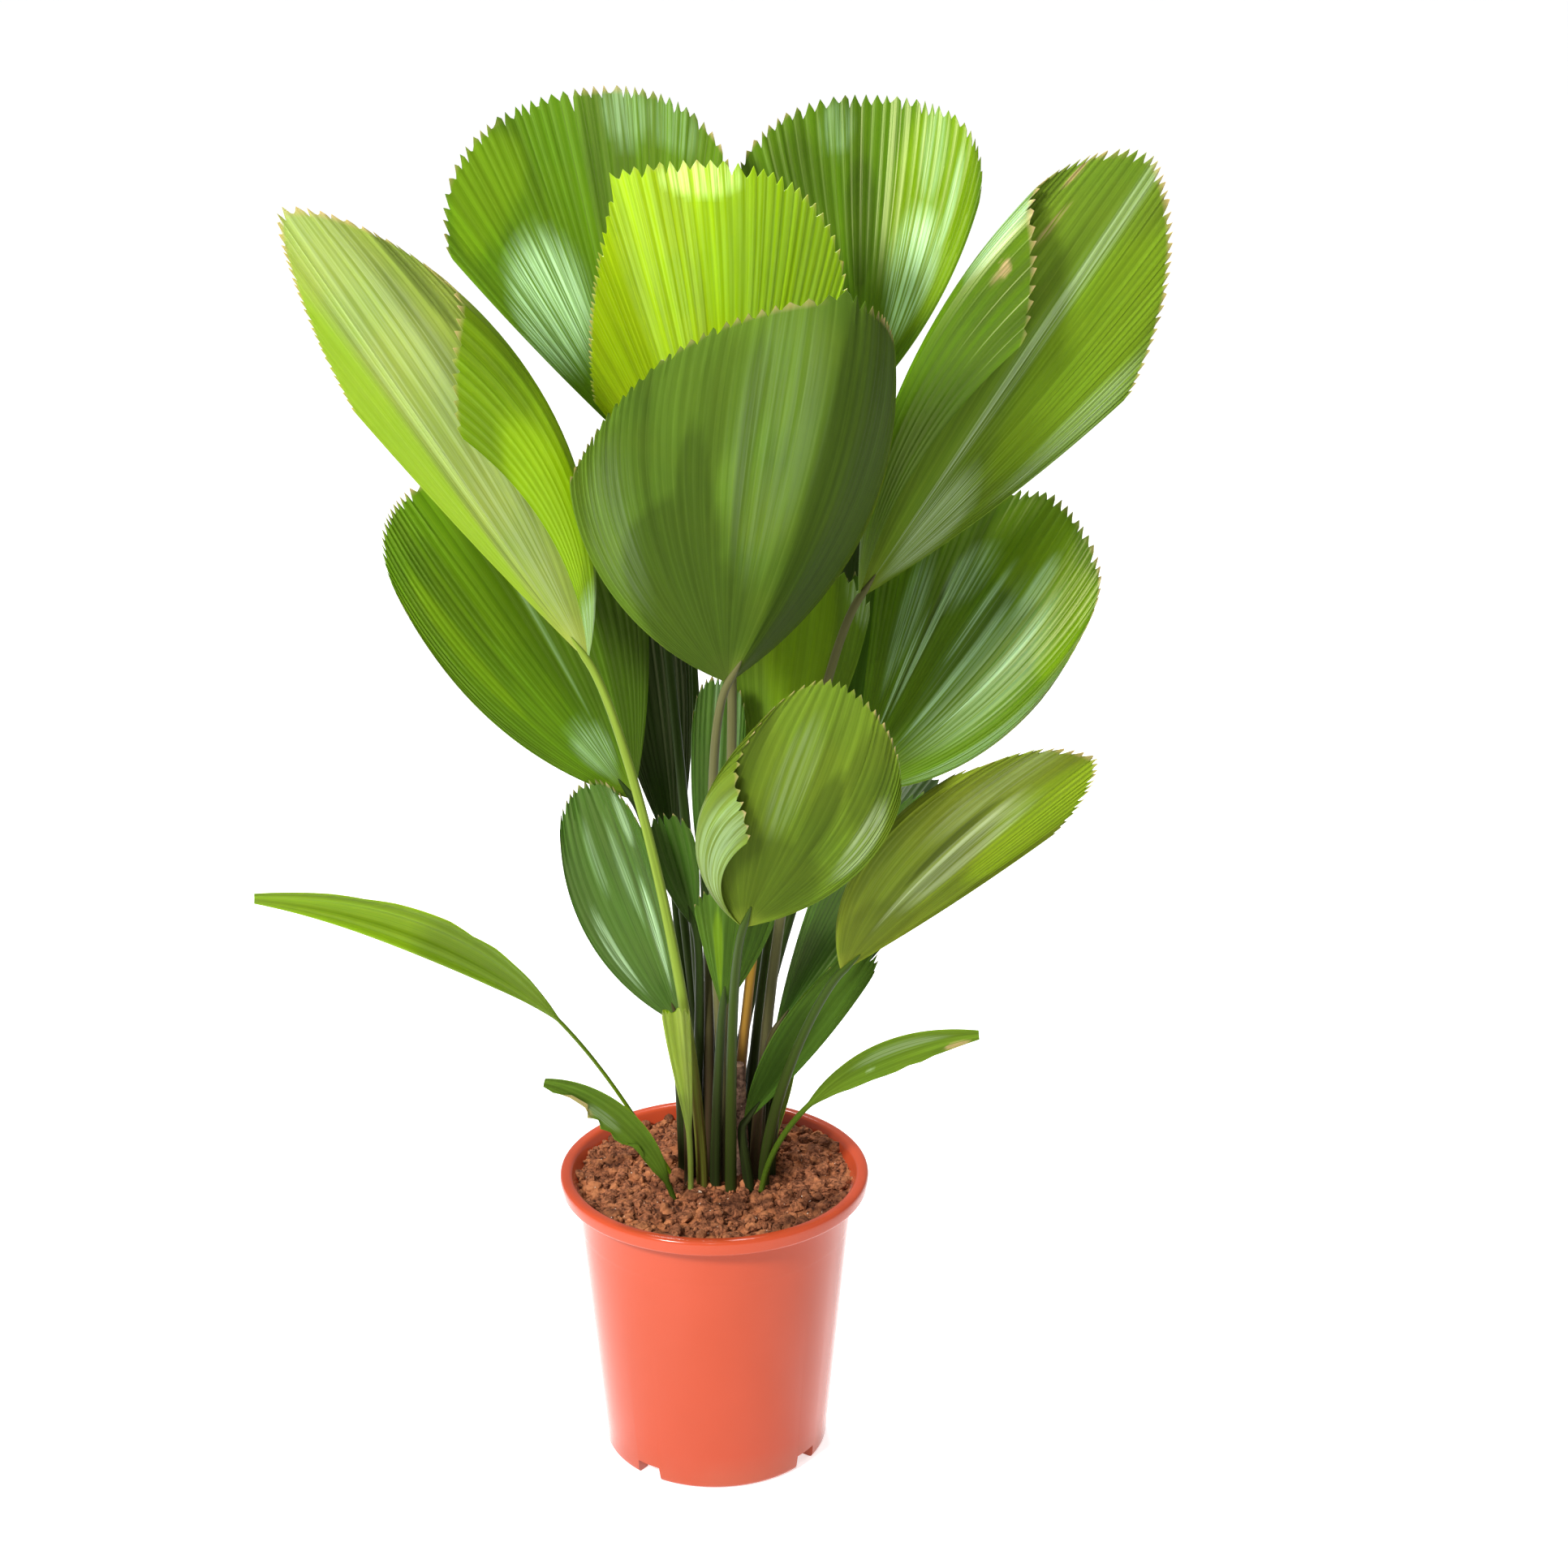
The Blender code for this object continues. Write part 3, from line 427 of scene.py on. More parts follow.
def margin_length(leaf):
    ribs = np.linspace(-1, 1, 61)
    margin, _ = blade_surface(leaf, ribs, np.full((len(ribs), 1), 0.95))
    return float(np.linalg.norm(np.diff(margin[:, 0], axis=0), axis=1).sum())


def pleat_lines(count, rng):
    """Rib lines across a blade: place from -1 to 1, pleat count, height and share of a notch."""
    widths = 1 + UNEVEN * (rng.random(count) - 0.5) * 2
    edges = np.concatenate(((0,), np.cumsum(widths)))
    edges = edges / edges[-1] * 2 - 1
    lines = []
    for k in range(count):
        deep, lean = rng.uniform(0.6, 1.3), rng.uniform(-0.12, 0.12)
        for place, height, cut in PROFILE:
            if place:
                place += lean
            lines.append((edges[k] + (edges[k + 1] - edges[k]) * place, k + place, height, cut * deep))
    lines.append((1.0, float(count), -1.0, 1.0))
    return np.array(lines).T


def tone_marks(leaf, ribs, shares):
    """How much painted shade, painted sheen and light, painted sunlight and dry tissue a blade has at
    each point.
    """
    looks = np.zeros(shares.shape + (len(BLUR),))
    for k, (kind, blur) in enumerate(BLUR.items()):
        for rib, share, wide, long, strength in getattr(leaf, kind):
            off = np.hypot((ribs[:, None] - rib) / wide, (shares - share) / long)
            near = np.clip((1 + blur / 2 - off) / blur, 0, 1)
            looks[..., k] = np.maximum(looks[..., k], strength * near * near * (3 - 2 * near))
    return looks


def slow_waves(leaf, rng, ribs, shares):
    """The gentle unevenness of a grown blade."""
    wave = np.zeros_like(shares)
    for _ in range(5):
        across, outward, phase = rng.uniform(1.0, 6.0), rng.uniform(-3.0, 3.0), rng.uniform(0, 6.28)
        wave += rng.uniform(0.3, 1.0) * np.sin(across * ribs[:, None] + outward * shares + phase)
    return wave / 3 * WAVES * length_of(leaf) * shares ** 1.5


def grid_faces(rows, columns, start=0):
    """Quads over a grid of points kept row by row."""
    index = start + np.arange(rows * columns).reshape(rows, columns)
    return np.stack((index[:-1, :-1], index[1:, :-1], index[1:, 1:], index[:-1, 1:]), -1).reshape(-1, 4)


def shell(front, back):
    """Quads round a thin plate from two equal grids, and how many of them lie on each side."""
    rows, columns = front.shape[:2]
    count = rows * columns
    top = grid_faces(rows, columns)
    under = grid_faces(rows, columns, count)[:, ::-1]
    index = np.arange(count).reshape(rows, columns)
    ring = np.concatenate((index[0, :], index[1:, -1], index[-1, -2::-1], index[-2:0:-1, 0]))
    after = np.roll(ring, -1)
    rim = np.stack((ring, after, after + count, ring + count), -1)
    return np.concatenate((top, under, rim)), len(top), len(under)


def around(radius, angle):
    return radius * math.cos(angle), radius * math.sin(angle)


def add_object(name, data):
    thing = bpy.data.objects.new(name, data)
    bpy.context.scene.collection.objects.link(thing)
    return thing


def mesh_of(shape, name):
    """The mesh of a shape that was built face by face."""
    data = bpy.data.meshes.new(name)
    shape.to_mesh(data)
    shape.free()
    return data


def new_piece(name, points, faces, materials, uv=None, part=None, sharp=60):
    """A smooth mesh object from arrays. uv is given for each point and part for each face."""
    data = bpy.data.meshes.new(name)
    data.from_pydata(points.tolist(), [], faces if isinstance(faces, list) else faces.tolist())
    if uv is not None:
        corners = np.zeros(len(data.loops), int)
        data.loops.foreach_get("vertex_index", corners)
        data.uv_layers.new(name="ribs").data.foreach_set("uv", np.asarray(uv)[corners].ravel())
    for one in materials:
        data.materials.append(one)
    if part is not None:
        data.polygons.foreach_set("material_index", np.asarray(part, int))
    data.shade_smooth()
    data.set_sharp_from_angle(angle=math.radians(sharp))
    data.validate()
    return add_object(name, data)


def paint(piece, looks):
    """Keeps the marks on the mesh, where the leaf material reads them."""
    layer = piece.data.color_attributes.new("looks", "FLOAT_COLOR", "POINT")
    layer.data.foreach_set("color", looks.ravel())


def dress(piece, node):
    """Says what a piece rides on, and hides the solid that it stands for."""
    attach(piece, "root")
    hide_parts(node)


def make_blade(leaf):
    """The thin pleated blade, with its teeth, its slow waves and its marks of painted shade and light
    and of dry tissue.
    """
    rng = np.random.default_rng(sum(leaf.name.encode()))
    margin = margin_length(leaf)
    count = round(margin / PLEAT_WIDTH)
    width = margin / count
    ribs, pleat, height, cut = pleat_lines(count, rng)
    heel = HEEL / length_of(leaf)
    notch = cut * TOOTH * width / length_of(leaf)
    for place, depth in leaf.splits:
        notch[len(PROFILE) * round((place + 1) / 2 * count)] = depth
    reach = np.maximum(MARGIN, CUT_REACH * notch)[:, None]
    shares = heel + (1 - heel) * np.broadcast_to(ROWS, (len(ribs), len(ROWS)))
    near = np.clip((shares - 1 + reach) / reach, 0, 1)
    shares = shares - notch[:, None] * near
    points, faces = blade_surface(leaf, ribs, shares)
    lift = height[:, None] * PLEAT_RISE * width * shares + slow_waves(leaf, rng, ribs, shares)
    points = points + faces * lift[..., None]
    front, back = points + faces * HALF_THICK, points - faces * HALF_THICK
    quads, top, under = shell(front, back)
    side = 0 if leaf.upper else 1
    part = np.concatenate((np.full(top, side), np.full(under, 1 - side),
                           np.zeros(len(quads) - top - under)))
    uv = np.stack((np.broadcast_to(pleat[:, None], shares.shape), shares), -1).reshape(-1, 2)
    piece = new_piece("blade_" + leaf.name, np.concatenate((front.reshape(-1, 3), back.reshape(-1, 3))),
                      quads, both_sides(leaf.tone), np.concatenate((uv, uv)), part)
    looks = tone_marks(leaf, ribs, shares).reshape(-1, 4)
    paint(piece, np.concatenate((looks, looks)))
    dress(piece, "leaf_" + leaf.name)


def curve(start, start_handle, end_handle, end, shares):
    """Points and directions on a cubic curve."""
    t = np.asarray(shares, float)[:, None]
    points = (start * (1 - t) ** 3 + start_handle * 3 * t * (1 - t) ** 2
              + end_handle * 3 * t * t * (1 - t) + end * t ** 3)
    ways = ((start_handle - start) * (1 - t) ** 2 + (end_handle - start_handle) * 2 * t * (1 - t)
            + (end - end_handle) * t * t)
    return points, ways / np.linalg.norm(ways, axis=1, keepdims=True)


def loft_faces(rings, sides):
    """Quads round a tube, and a cap for each end."""
    index = np.arange(rings * sides).reshape(rings, sides)
    after = np.roll(index, -1, axis=1)
    quads = np.stack((index[:-1], after[:-1], after[1:], index[1:]), -1).reshape(-1, 4).tolist()
    return quads + [index[0, ::-1].tolist(), index[-1].tolist()]


def tube_points(points, ways, radii, sides):
    """Rings round a line, carried along it without twist."""
    side = unit(np.cross(ways[0], (0, 1, 0.01)))
    angles = np.linspace(0, 2 * math.pi, sides, endpoint=False)
    rings = []
    for point, way, radius in zip(points, ways, radii):
        side = unit(side - way * (side @ way))
        other = np.cross(way, side)
        circle = np.outer(np.cos(angles), side) + np.outer(np.sin(angles), other)
        rings.append(point + radius * circle)
    return np.array(rings)


def make_stalk(leaf):
    """A tapering stalk that runs on under the blade as a keel."""
    way, normal = (rows[WALK] for rows in ribs_at(leaf, 0.0))
    foot = np.array((*leaf.foot, SOIL_TOP - ROOT_SINK))
    top = np.array(leaf.heel)
    far = np.linalg.norm(top - foot)
    shares = np.linspace(0, 1, STALK_RINGS)
    rise = np.array((0, 0, RISE * far))
    points, ways = curve(foot, foot + rise, top - way * ARRIVE * far, top, shares)
    end = way * KEEL + normal * KEEL_DROP * (-1 if leaf.upper else 1)
    keel = np.linspace(0, 1, 6)[1:]
    points = np.concatenate((points, [top + end * k for k in keel]))
    ways = np.concatenate((ways, [way] * len(keel)))
    radii = np.concatenate((STALK_FOOT + (STALK_TOP - STALK_FOOT) * shares,
                            STALK_TOP * (1 - keel) ** 0.8 + KEEL_END))
    rings = tube_points(points, ways, radii, STALK_SIDES)
    reach = np.concatenate((shares, 1 + keel * KEEL / far))
    angle = np.linspace(0, 1, STALK_SIDES, endpoint=False)
    uv = np.stack(np.meshgrid(reach * far, angle, indexing="ij")[::-1], -1).reshape(-1, 2)
    piece = new_piece("petiole_" + leaf.name, rings.reshape(-1, 3), loft_faces(len(rings), STALK_SIDES),
                      (stalk_material(leaf.stalk),), uv)
    dress(piece, "stalk_" + leaf.name)


def make_small_leaf(leaf):
    """A round stalk that flattens into a narrow ribbed blade."""
    rng = np.random.default_rng(sum(leaf.name.encode()))
    rows, sides = SHOOT_RINGS, SHOOT_SIDES
    foot = np.array((*leaf.foot, SOIL_TOP - ROOT_SINK))
    tip = np.array(leaf.tip)
    shares = np.linspace(0, 1, rows)
    points, ways = curve(foot, foot + np.array(leaf.rise), tip - np.array(leaf.reach), tip, shares)
    ways[0] = (0, 0, 1)
    angles = np.linspace(0, 2 * math.pi, sides, endpoint=False)
    x, y = np.cos(angles), np.sin(angles)
    bites = np.interp(np.arange(rows), np.arange(0, rows + BITE_RINGS, BITE_RINGS),
                      rng.random(rows // BITE_RINGS + 2) ** 2)
    rings = []
    for point, way, share, bite in zip(points, ways, shares, bites):
        blade = max(0.0, (share - leaf.heel) / (1 - leaf.heel))
        bulge = math.sin(math.pi * leaf.full * blade)
        half = leaf.radius + (leaf.width / 2 - leaf.radius) * bulge
        thick = max(SHOOT_THICK, leaf.radius * (1 - 3 * blade))
        flat = min(1.0, blade * 4)
        tooth = bite * np.where(x < 0, leaf.ragged[0], leaf.ragged[1]) * np.abs(x) ** 4 * flat
        normal = front_of(way)
        across = np.cross(way, normal)
        pleat = SHOOT_RISE * half * np.cos(x * SHOOT_PLEATS * math.pi / 2) * flat
        lift = SHOOT_FOLD * half * np.abs(x) * flat + pleat
        rings.append(point + np.outer(x * half * (1 - tooth), across)
                     + np.outer(y * thick + lift, normal))
    rings = np.array(rings)
    if leaf.full < 0.5:
        jags = BLUNT_TEETH * rng.uniform(0, 1, sides // 2 + 1)
        rings[-1] += ways[-1] * np.concatenate((jags, jags[-2:0:-1]))[:, None]
    side = 0 if leaf.upper else 1
    part = [side if math.sin(angle) >= 0 else 1 - side for angle in angles] * (rows - 1)
    uv = np.stack(np.meshgrid(shares * 0.97, x * 3 + 3, indexing="ij")[::-1], -1).reshape(-1, 2)
    piece = new_piece("shoot_leaf_" + leaf.name, rings.reshape(-1, 3), loft_faces(rows, sides),
                      both_sides(leaf.tone), uv, part + [0, 0])
    # marks of painted shade, sheen and sunlight, and of dry tissue
    looks = tone_marks(leaf, x, np.broadcast_to(shares, (sides, rows))).transpose(1, 0, 2)
    paint(piece, looks.reshape(-1, 4))
    dress(piece, "shoot_" + leaf.name)


class Nodes:
    """Builds one material's node tree."""

    def __init__(self, name):
        self.material = bpy.data.materials.new(name)
        self.material.use_nodes = True
        self.tree = self.material.node_tree
        self.shader = self.tree.nodes["Principled BSDF"]
        self.shade = None        # the colour laid down so far

    def add(self, kind, inputs=(), **settings):
        node = self.tree.nodes.new(kind)
        for key, value in settings.items():
            setattr(node, key, value)
        for key, value in dict(inputs).items():
            self.put(node.inputs[key], value)
        return node

    def put(self, socket, value):
        """Sets a socket to a value, or joins it to another node's output."""
        if isinstance(value, bpy.types.NodeSocket):
            self.tree.links.new(value, socket)
        else:
            socket.default_value = value

    def set(self, **values):
        """Sets the shader's own sockets, whose names are written with underscores."""
        for key, value in values.items():
            self.put(self.shader.inputs[key.replace("_", " ")], value)

    def noise(self, vector, scale, detail=3.0, rough=0.5):
        return self.add("ShaderNodeTexNoise", {"Vector": vector, "Scale": scale, "Detail": detail,
                                               "Roughness": rough}).outputs["Fac"]

    def grain(self, across, along, detail, rough=0.5):
        """Noise drawn out along the ribs."""
        scale = {"Vector": self.uv(), "Scale": (across, along, 1.0)}
        return self.noise(self.add("ShaderNodeMapping", scale).outputs["Vector"], 1.0, detail, rough)

    def ramp(self, value, low, high, to_low=0.0, to_high=1.0):
        return self.add("ShaderNodeMapRange", {"Value": value, "From Min": low, "From Max": high,
                                               "To Min": to_low, "To Max": to_high}).outputs["Result"]

    def math(self, operation, a, b=0.0):
        return self.add("ShaderNodeMath", {0: a, 1: b}, operation=operation).outputs[0]

    def mix(self, factor, a, b):
        node = self.tree.nodes.new("ShaderNodeMix")
        node.data_type = "RGBA"
        self.put(node.inputs["Factor"], factor)
        self.put(node.inputs["A"], a)
        self.put(node.inputs["B"], b)
        return node.outputs["Result"]

    def lay(self, factor, colour):
        """Lays a colour over the shade, as strongly as the factor says."""
        self.shade = self.mix(factor, self.shade, colour)

    def times(self, a, b):
        return self.math("MULTIPLY", a, b)

    def bump(self, height, distance):
        node = self.add("ShaderNodeBump", {"Height": height, "Distance": distance, "Strength": 1.0})
        self.put(self.shader.inputs["Normal"], node.outputs["Normal"])

    def uv(self):
        return self.add("ShaderNodeUVMap", uv_map="ribs").outputs["UV"]

    def place(self):
        return self.add("ShaderNodeTexCoord").outputs["Object"]

    def split(self, vector):
        return self.add("ShaderNodeSeparateXYZ", {"Vector": vector}).outputs


def rgba(colour, times=1.0):
    return tuple(c * times for c in colour) + (1.0,)


def tinted(colour, red, green, blue):
    """A colour with its channels raised one by one."""
    return (colour[0] * red, colour[1] * green, colour[2] * blue, 1.0)


# Leaf colours: upper side, under side, how much light they let through
TONES = {
    "green": ((0.070, 0.158, 0.003), (0.095, 0.170, 0.012), 0.40),
    "forest": ((0.050, 0.120, 0.006), (0.062, 0.118, 0.010), 0.35),
    "deep": ((0.035, 0.095, 0.009), (0.045, 0.100, 0.010), 0.30),
    "lime": ((0.120, 0.230, 0.002), (0.170, 0.240, 0.040), 0.60),
    "young": ((0.250, 0.390, 0.002), (0.270, 0.410, 0.004), 0.75),
    # painted shade: leaves deep among the others, darkened for the shade that they stand in
    "shade": ((0.010, 0.028, 0.003), (0.014, 0.030, 0.005), 0.15),
    "olive": ((0.110, 0.190, 0.003), (0.115, 0.165, 0.012), 0.45),
    "moss": ((0.085, 0.150, 0.003), (0.080, 0.135, 0.009), 0.35),
}
# Stalk colours: above, and near the soil
STALKS = {
    "green": ((0.030, 0.054, 0.010), (0.016, 0.020, 0.006)),
    "yellow": ((0.185, 0.265, 0.030), (0.070, 0.045, 0.010)),
    "olive": ((0.030, 0.056, 0.006), (0.026, 0.034, 0.007)),
    "brown": ((0.050, 0.050, 0.016), (0.045, 0.026, 0.014)),
    "dun": ((0.115, 0.112, 0.042), (0.040, 0.030, 0.016)),
    "orange": ((0.420, 0.230, 0.030), (0.100, 0.038, 0.022)),
}
SOILS = {                    # wet and dry colour, scale of the crumbs
    "coir": ((0.036, 0.011, 0.005), (0.285, 0.096, 0.040), 300.0),
    "coir_crumbs": ((0.062, 0.019, 0.008), (0.325, 0.118, 0.052), 340.0),
    "stem_fibre": ((0.060, 0.030, 0.020), (0.260, 0.150, 0.100), 300.0),
}
SUNLIT = (0.230, 0.390, 0.002)    # a leaf with the sun behind it
PAINTED_SHEEN = (0.480, 0.700, 0.400)     # painted sheen on an upper side
UNDER_PAINTED_LIGHT = 0.22                      # painted light: white that a pale mark adds to an under side
DRY = (0.380, 0.270, 0.120)
PALE_SPECK = (0.620, 0.480, 0.360)
POT_COLOURS = ((0.400, 0.052, 0.016, 1), (0.425, 0.056, 0.019, 1))
POT_DUST = (0.36, 0.09, 0.045, 1)
POT_EDGE_REFLECTION = (0.66, 0.33, 0.28, 1)  # painted reflection: the whitish wall seen at a low angle
made = {}                         # materials built so far, by name


def leaf_material(tone, upper):
    """Waxy above, matte below: veins along the ribs, painted shade in the fold lines above, the leaf's
    marks of painted shade, sheen and sunlight and of dry tissue, a dry line at the margin.
    """
    name = "leaf_" + tone + ("_upper" if upper else "_under")
    if name in made:
        return made[name]
    colour, under, through = TONES[tone]
    base = colour if upper else under
    n = Nodes(name)
    pleat, share, _ = n.split(n.uv())
    veins = n.grain(7.0, 0.9, 2.0)
    broad = n.grain(0.55, 1.6, 2.0)
    streak = n.grain(2.6, 1.1, 3.0, 0.65)
    mottle = n.noise(n.place(), 14.0, 3.0)
    fold = n.math("PINGPONG", pleat, 0.5)
    line = n.ramp(fold, 0.0, 0.09, 1.0, 0.0)
    crest = n.ramp(fold, 0.38, 0.5)
    n.shade = n.mix(n.ramp(broad, 0.35, 0.65), rgba(base, 0.72), rgba(base, 1.25))
    n.lay(n.ramp(veins, 0.3, 0.7, 0.0, 0.35), rgba(base, 0.55))
    n.lay(n.ramp(mottle, 0.35, 0.7, 0.0, 0.35), tinted(base, 1.5, 1.15, 1.0))
    # Above, painted shade darkens the fold lines and the crests are lighter; below, the fold lines are
    # lighter and the crests darker
    if upper:
        n.lay(n.times(line, 0.45), rgba(base, 0.45))
        n.lay(n.times(crest, 0.20), tinted(base, 1.7, 1.2, 2.0))
    else:
        n.lay(n.times(line, 0.35), tinted(base, 1.6, 1.4, 2.0))
        n.lay(n.times(crest, 0.35), rgba(base, 0.60))
    heel = (base[0] * 1.6 + 0.03, base[1] * 1.4, base[2] * 1.5 + 0.01)
    n.lay(n.ramp(share, 0.10, 0.0, 0.0, 0.6), rgba(heel))
    looks = n.add("ShaderNodeVertexColor", layer_name="looks").outputs
    kinds = n.add("ShaderNodeSeparateColor", {"Color": looks["Color"]}).outputs
    dark, pale, lit = (kinds[channel] for channel in ("Red", "Green", "Blue"))
    # The marks: painted shade, painted sunlight through the leaf, and painted sheen above or painted
    # light below
    n.lay(n.times(dark, n.ramp(streak, 0.3, 0.6, 0.75, 1.0)), rgba(base, 0.32))
    n.lay(n.times(lit, n.ramp(streak, 0.3, 0.7, 0.6, 1.0)), rgba(SUNLIT))
    n.lay(n.times(pale, n.ramp(streak, 0.42, 0.58, 0.1, 1.0)),
          rgba(PAINTED_SHEEN if upper else tuple(UNDER_PAINTED_LIGHT + 1.4 * c for c in base)))
    dead = n.times(looks["Alpha"], n.ramp(streak, 0.4, 0.5))
    margin = n.times(n.ramp(share, 0.975, 1.0), n.ramp(mottle, 0.42, 0.58))
    n.lay(n.math("MAXIMUM", dead, margin), rgba(DRY))
    n.set(Base_Color=n.shade, Roughness=n.ramp(veins, 0.3, 0.7, 0.28, 0.40) if upper else 0.55,
          Specular_IOR_Level=0.30 if upper else 0.04, Specular_Tint=(1.0, 1.0, 0.5, 1.0),
          Subsurface_Weight=through, Subsurface_Scale=0.0012, Subsurface_Radius=(0.9, 1.0, 0.25))
    n.bump(n.math("ADD", veins, n.times(mottle, 0.5)), 0.00018 if upper else 0.00012)
    made[name] = n.material
    return n.material


def both_sides(tone):
    return leaf_material(tone, True), leaf_material(tone, False)


def stalk_material(tone):
    """Satin with darker lengthwise streaks, browner near the soil."""
    name = "stalk_" + tone
    if name in made:
        return made[name]
    colour, foot = STALKS[tone]
    n = Nodes(name)
    streaks = n.grain(9.0, 6.0, 3.0)
    height = n.split(n.place())["Z"]
    n.shade = n.mix(n.ramp(streaks, 0.35, 0.65, 0.0, 0.6), rgba(colour), rgba(colour, 0.55))
    n.lay(n.times(n.ramp(height, 0.40, 0.30), n.ramp(streaks, 0.3, 0.6, 0.4, 1.0)), rgba(foot))
    n.set(Base_Color=n.shade, Roughness=0.42, Specular_IOR_Level=0.08,
          Specular_Tint=(1.0, 1.0, 0.6, 1.0))
    n.bump(streaks, 0.0003)
    made[name] = n.material
    return n.material


def pot_material():
    """Glossy moulded plastic, a little uneven in colour, dusty near the foot, with a painted reflection
    whitening its edge.
    """
    n = Nodes("coral_plastic")
    place = n.place()
    broad = n.noise(place, 9.0, 3.0)
    height = n.split(place)["Z"]
    edge = n.add("ShaderNodeLayerWeight", {"Blend": 0.5}).outputs["Facing"]
    n.shade = n.mix(n.ramp(broad, 0.35, 0.65), *POT_COLOURS)
    n.lay(n.times(n.ramp(height, 0.03, 0.0, 0.0, 0.5), n.ramp(broad, 0.4, 0.6)), POT_DUST)
    # painted reflection where the wall is seen at a low angle
    n.lay(n.ramp(edge, 0.84, 1.0, 0.0, 0.70), POT_EDGE_REFLECTION)
    n.set(Base_Color=n.shade, Roughness=0.17, Specular_IOR_Level=0.30)
    n.bump(broad, 0.0002)
    return n.material


def soil_material(name):
    """Moist coir: dark and pale by crumb, with drier lumps, wetter patches and pale specks."""
    low, high, scale = SOILS[name]
    n = Nodes(name)
    place = n.place()
    crumbs = n.noise(place, scale, 4.0, 0.65)
    lumps = n.noise(place, 95.0, 2.0)
    patches = n.noise(place, 34.0, 2.0)
    n.shade = n.mix(n.ramp(crumbs, 0.38, 0.62), rgba(low), rgba(high))
    n.lay(n.ramp(lumps, 0.50, 0.66, 0.0, 0.75), tinted(high, 1.4, 1.45, 1.3))
    n.lay(n.ramp(patches, 0.50, 0.64, 0.0, 0.60), rgba(low, 0.6))
    n.lay(n.ramp(n.noise(place, 330.0, 1.0), 0.74, 0.78), rgba(PALE_SPECK))
    n.set(Base_Color=n.shade, Roughness=0.9, Specular_IOR_Level=0.15)
    n.bump(crumbs, 0.0012)
    return n.material


def outer_radius(height):
    return FOOT_RADIUS + (SHOULDER_RADIUS - FOOT_RADIUS) * height / (POT_HEIGHT - RIM_HEIGHT)


def inner_radius(height):
    """The same inside, which steps out to the mouth within the rim."""
    lip = POT_HEIGHT - RIM_HEIGHT
    step = min(1.0, max(0.0, height - lip) / INNER_STEP)
    return outer_radius(min(height, lip)) - WALL + step * (MOUTH_RADIUS - SHOULDER_RADIUS + WALL)


def rounded(corners):
    """A profile whose corners (radius, height, rounding) become short arcs."""
    out = []
    for k, (r, z, size) in enumerate(corners):
        here = np.array((r, z))
        if not size:
            out.append(here)
            continue
        before, after = np.array(corners[k - 1][:2]), np.array(corners[(k + 1) % len(corners)][:2])
        a, b = here + unit(before - here) * size, here + unit(after - here) * size
        for t in np.linspace(0, 1, 6):
            out.append(a * (1 - t) ** 2 + here * 2 * t * (1 - t) + b * t * t)
    return out


def make_pot():
    """A turned shell with a rolled rim, a faint ledge and four gates in its foot."""
    lip = POT_HEIGHT - RIM_HEIGHT
    ledge = outer_radius(STEP_HEIGHT)
    profile = rounded((
        (HUB[0], 0.0, 0.0008), (HUB[1], HOLLOW, 0.0008),
        (FOOT_RING[0], HOLLOW, 0.001), (FOOT_RING[1], 0.0, 0.0008),
        (FOOT_RADIUS, 0.0, 0.004), (ledge - 0.0003, STEP_HEIGHT - 0.001, 0.0008),
        (ledge, STEP_HEIGHT + 0.001, 0.0008), (SHOULDER_RADIUS, lip - 0.0005, 0.0012),
        (RIM_RADIUS - 0.0012, lip, 0.0024), (RIM_RADIUS, POT_HEIGHT, 0.0045),
        (MOUTH_RADIUS, POT_HEIGHT, 0.0030), (inner_radius(lip), lip, 0.0),
        (inner_radius(INSIDE_END), INSIDE_END, 0.0)))
    turns = np.linspace(0, 2 * math.pi, POT_SIDES, endpoint=False)
    rings = np.array([[(*around(r, a), z) for a in turns] for r, z in profile])
    pot = new_piece("nursery_pot", rings.reshape(-1, 3), loft_faces(len(rings), POT_SIDES),
                    (pot_material(),), sharp=40)
    mesh = bmesh.new()
    for k in range(GATES):
        angle = NOTCH_ANGLE + (k - 1) * 2 * math.pi / GATES
        out, along = np.array(around(1, angle)), np.array(around(1, angle + math.pi / 2))
        for vert in bmesh.ops.create_cube(mesh, size=1.0)["verts"]:
            x, y, z = vert.co
            width = NOTCH_WIDTH - NOTCH_TAPER * (z + 0.5)
            flat = out * (FOOT_RADIUS + NOTCH_DEPTH * x) + along * y * width
            vert.co = (*flat, 2 * NOTCH_HEIGHT * z)
    gates = add_object("gates", mesh_of(mesh, "gates"))
    cut = pot.modifiers.new("gates", "BOOLEAN")
    cut.operation = "DIFFERENCE"
    cut.object = gates
    bpy.context.view_layer.update()
    depsgraph = bpy.context.evaluated_depsgraph_get()
    pot.data = bpy.data.meshes.new_from_object(pot.evaluated_get(depsgraph))
    pot.modifiers.clear()
    bpy.data.objects.remove(gates, do_unlink=True)
    dress(pot, "pot")


def value_noise(rng, points, cell):
    """Smooth random heights over the plane, from -1 to 1."""
    grid = rng.uniform(-1, 1, (NOISE_GRID, NOISE_GRID))
    place = points / cell + NOISE_GRID // 2
    low = np.floor(place).astype(int)
    f = place - low
    f = f * f * (3 - 2 * f)
    x, y = low[:, 0] % (NOISE_GRID - 1), low[:, 1] % (NOISE_GRID - 1)
    a = grid[x, y] * (1 - f[:, 0]) + grid[x + 1, y] * f[:, 0]
    b = grid[x, y + 1] * (1 - f[:, 0]) + grid[x + 1, y + 1] * f[:, 0]
    return a * (1 - f[:, 1]) + b * f[:, 1]


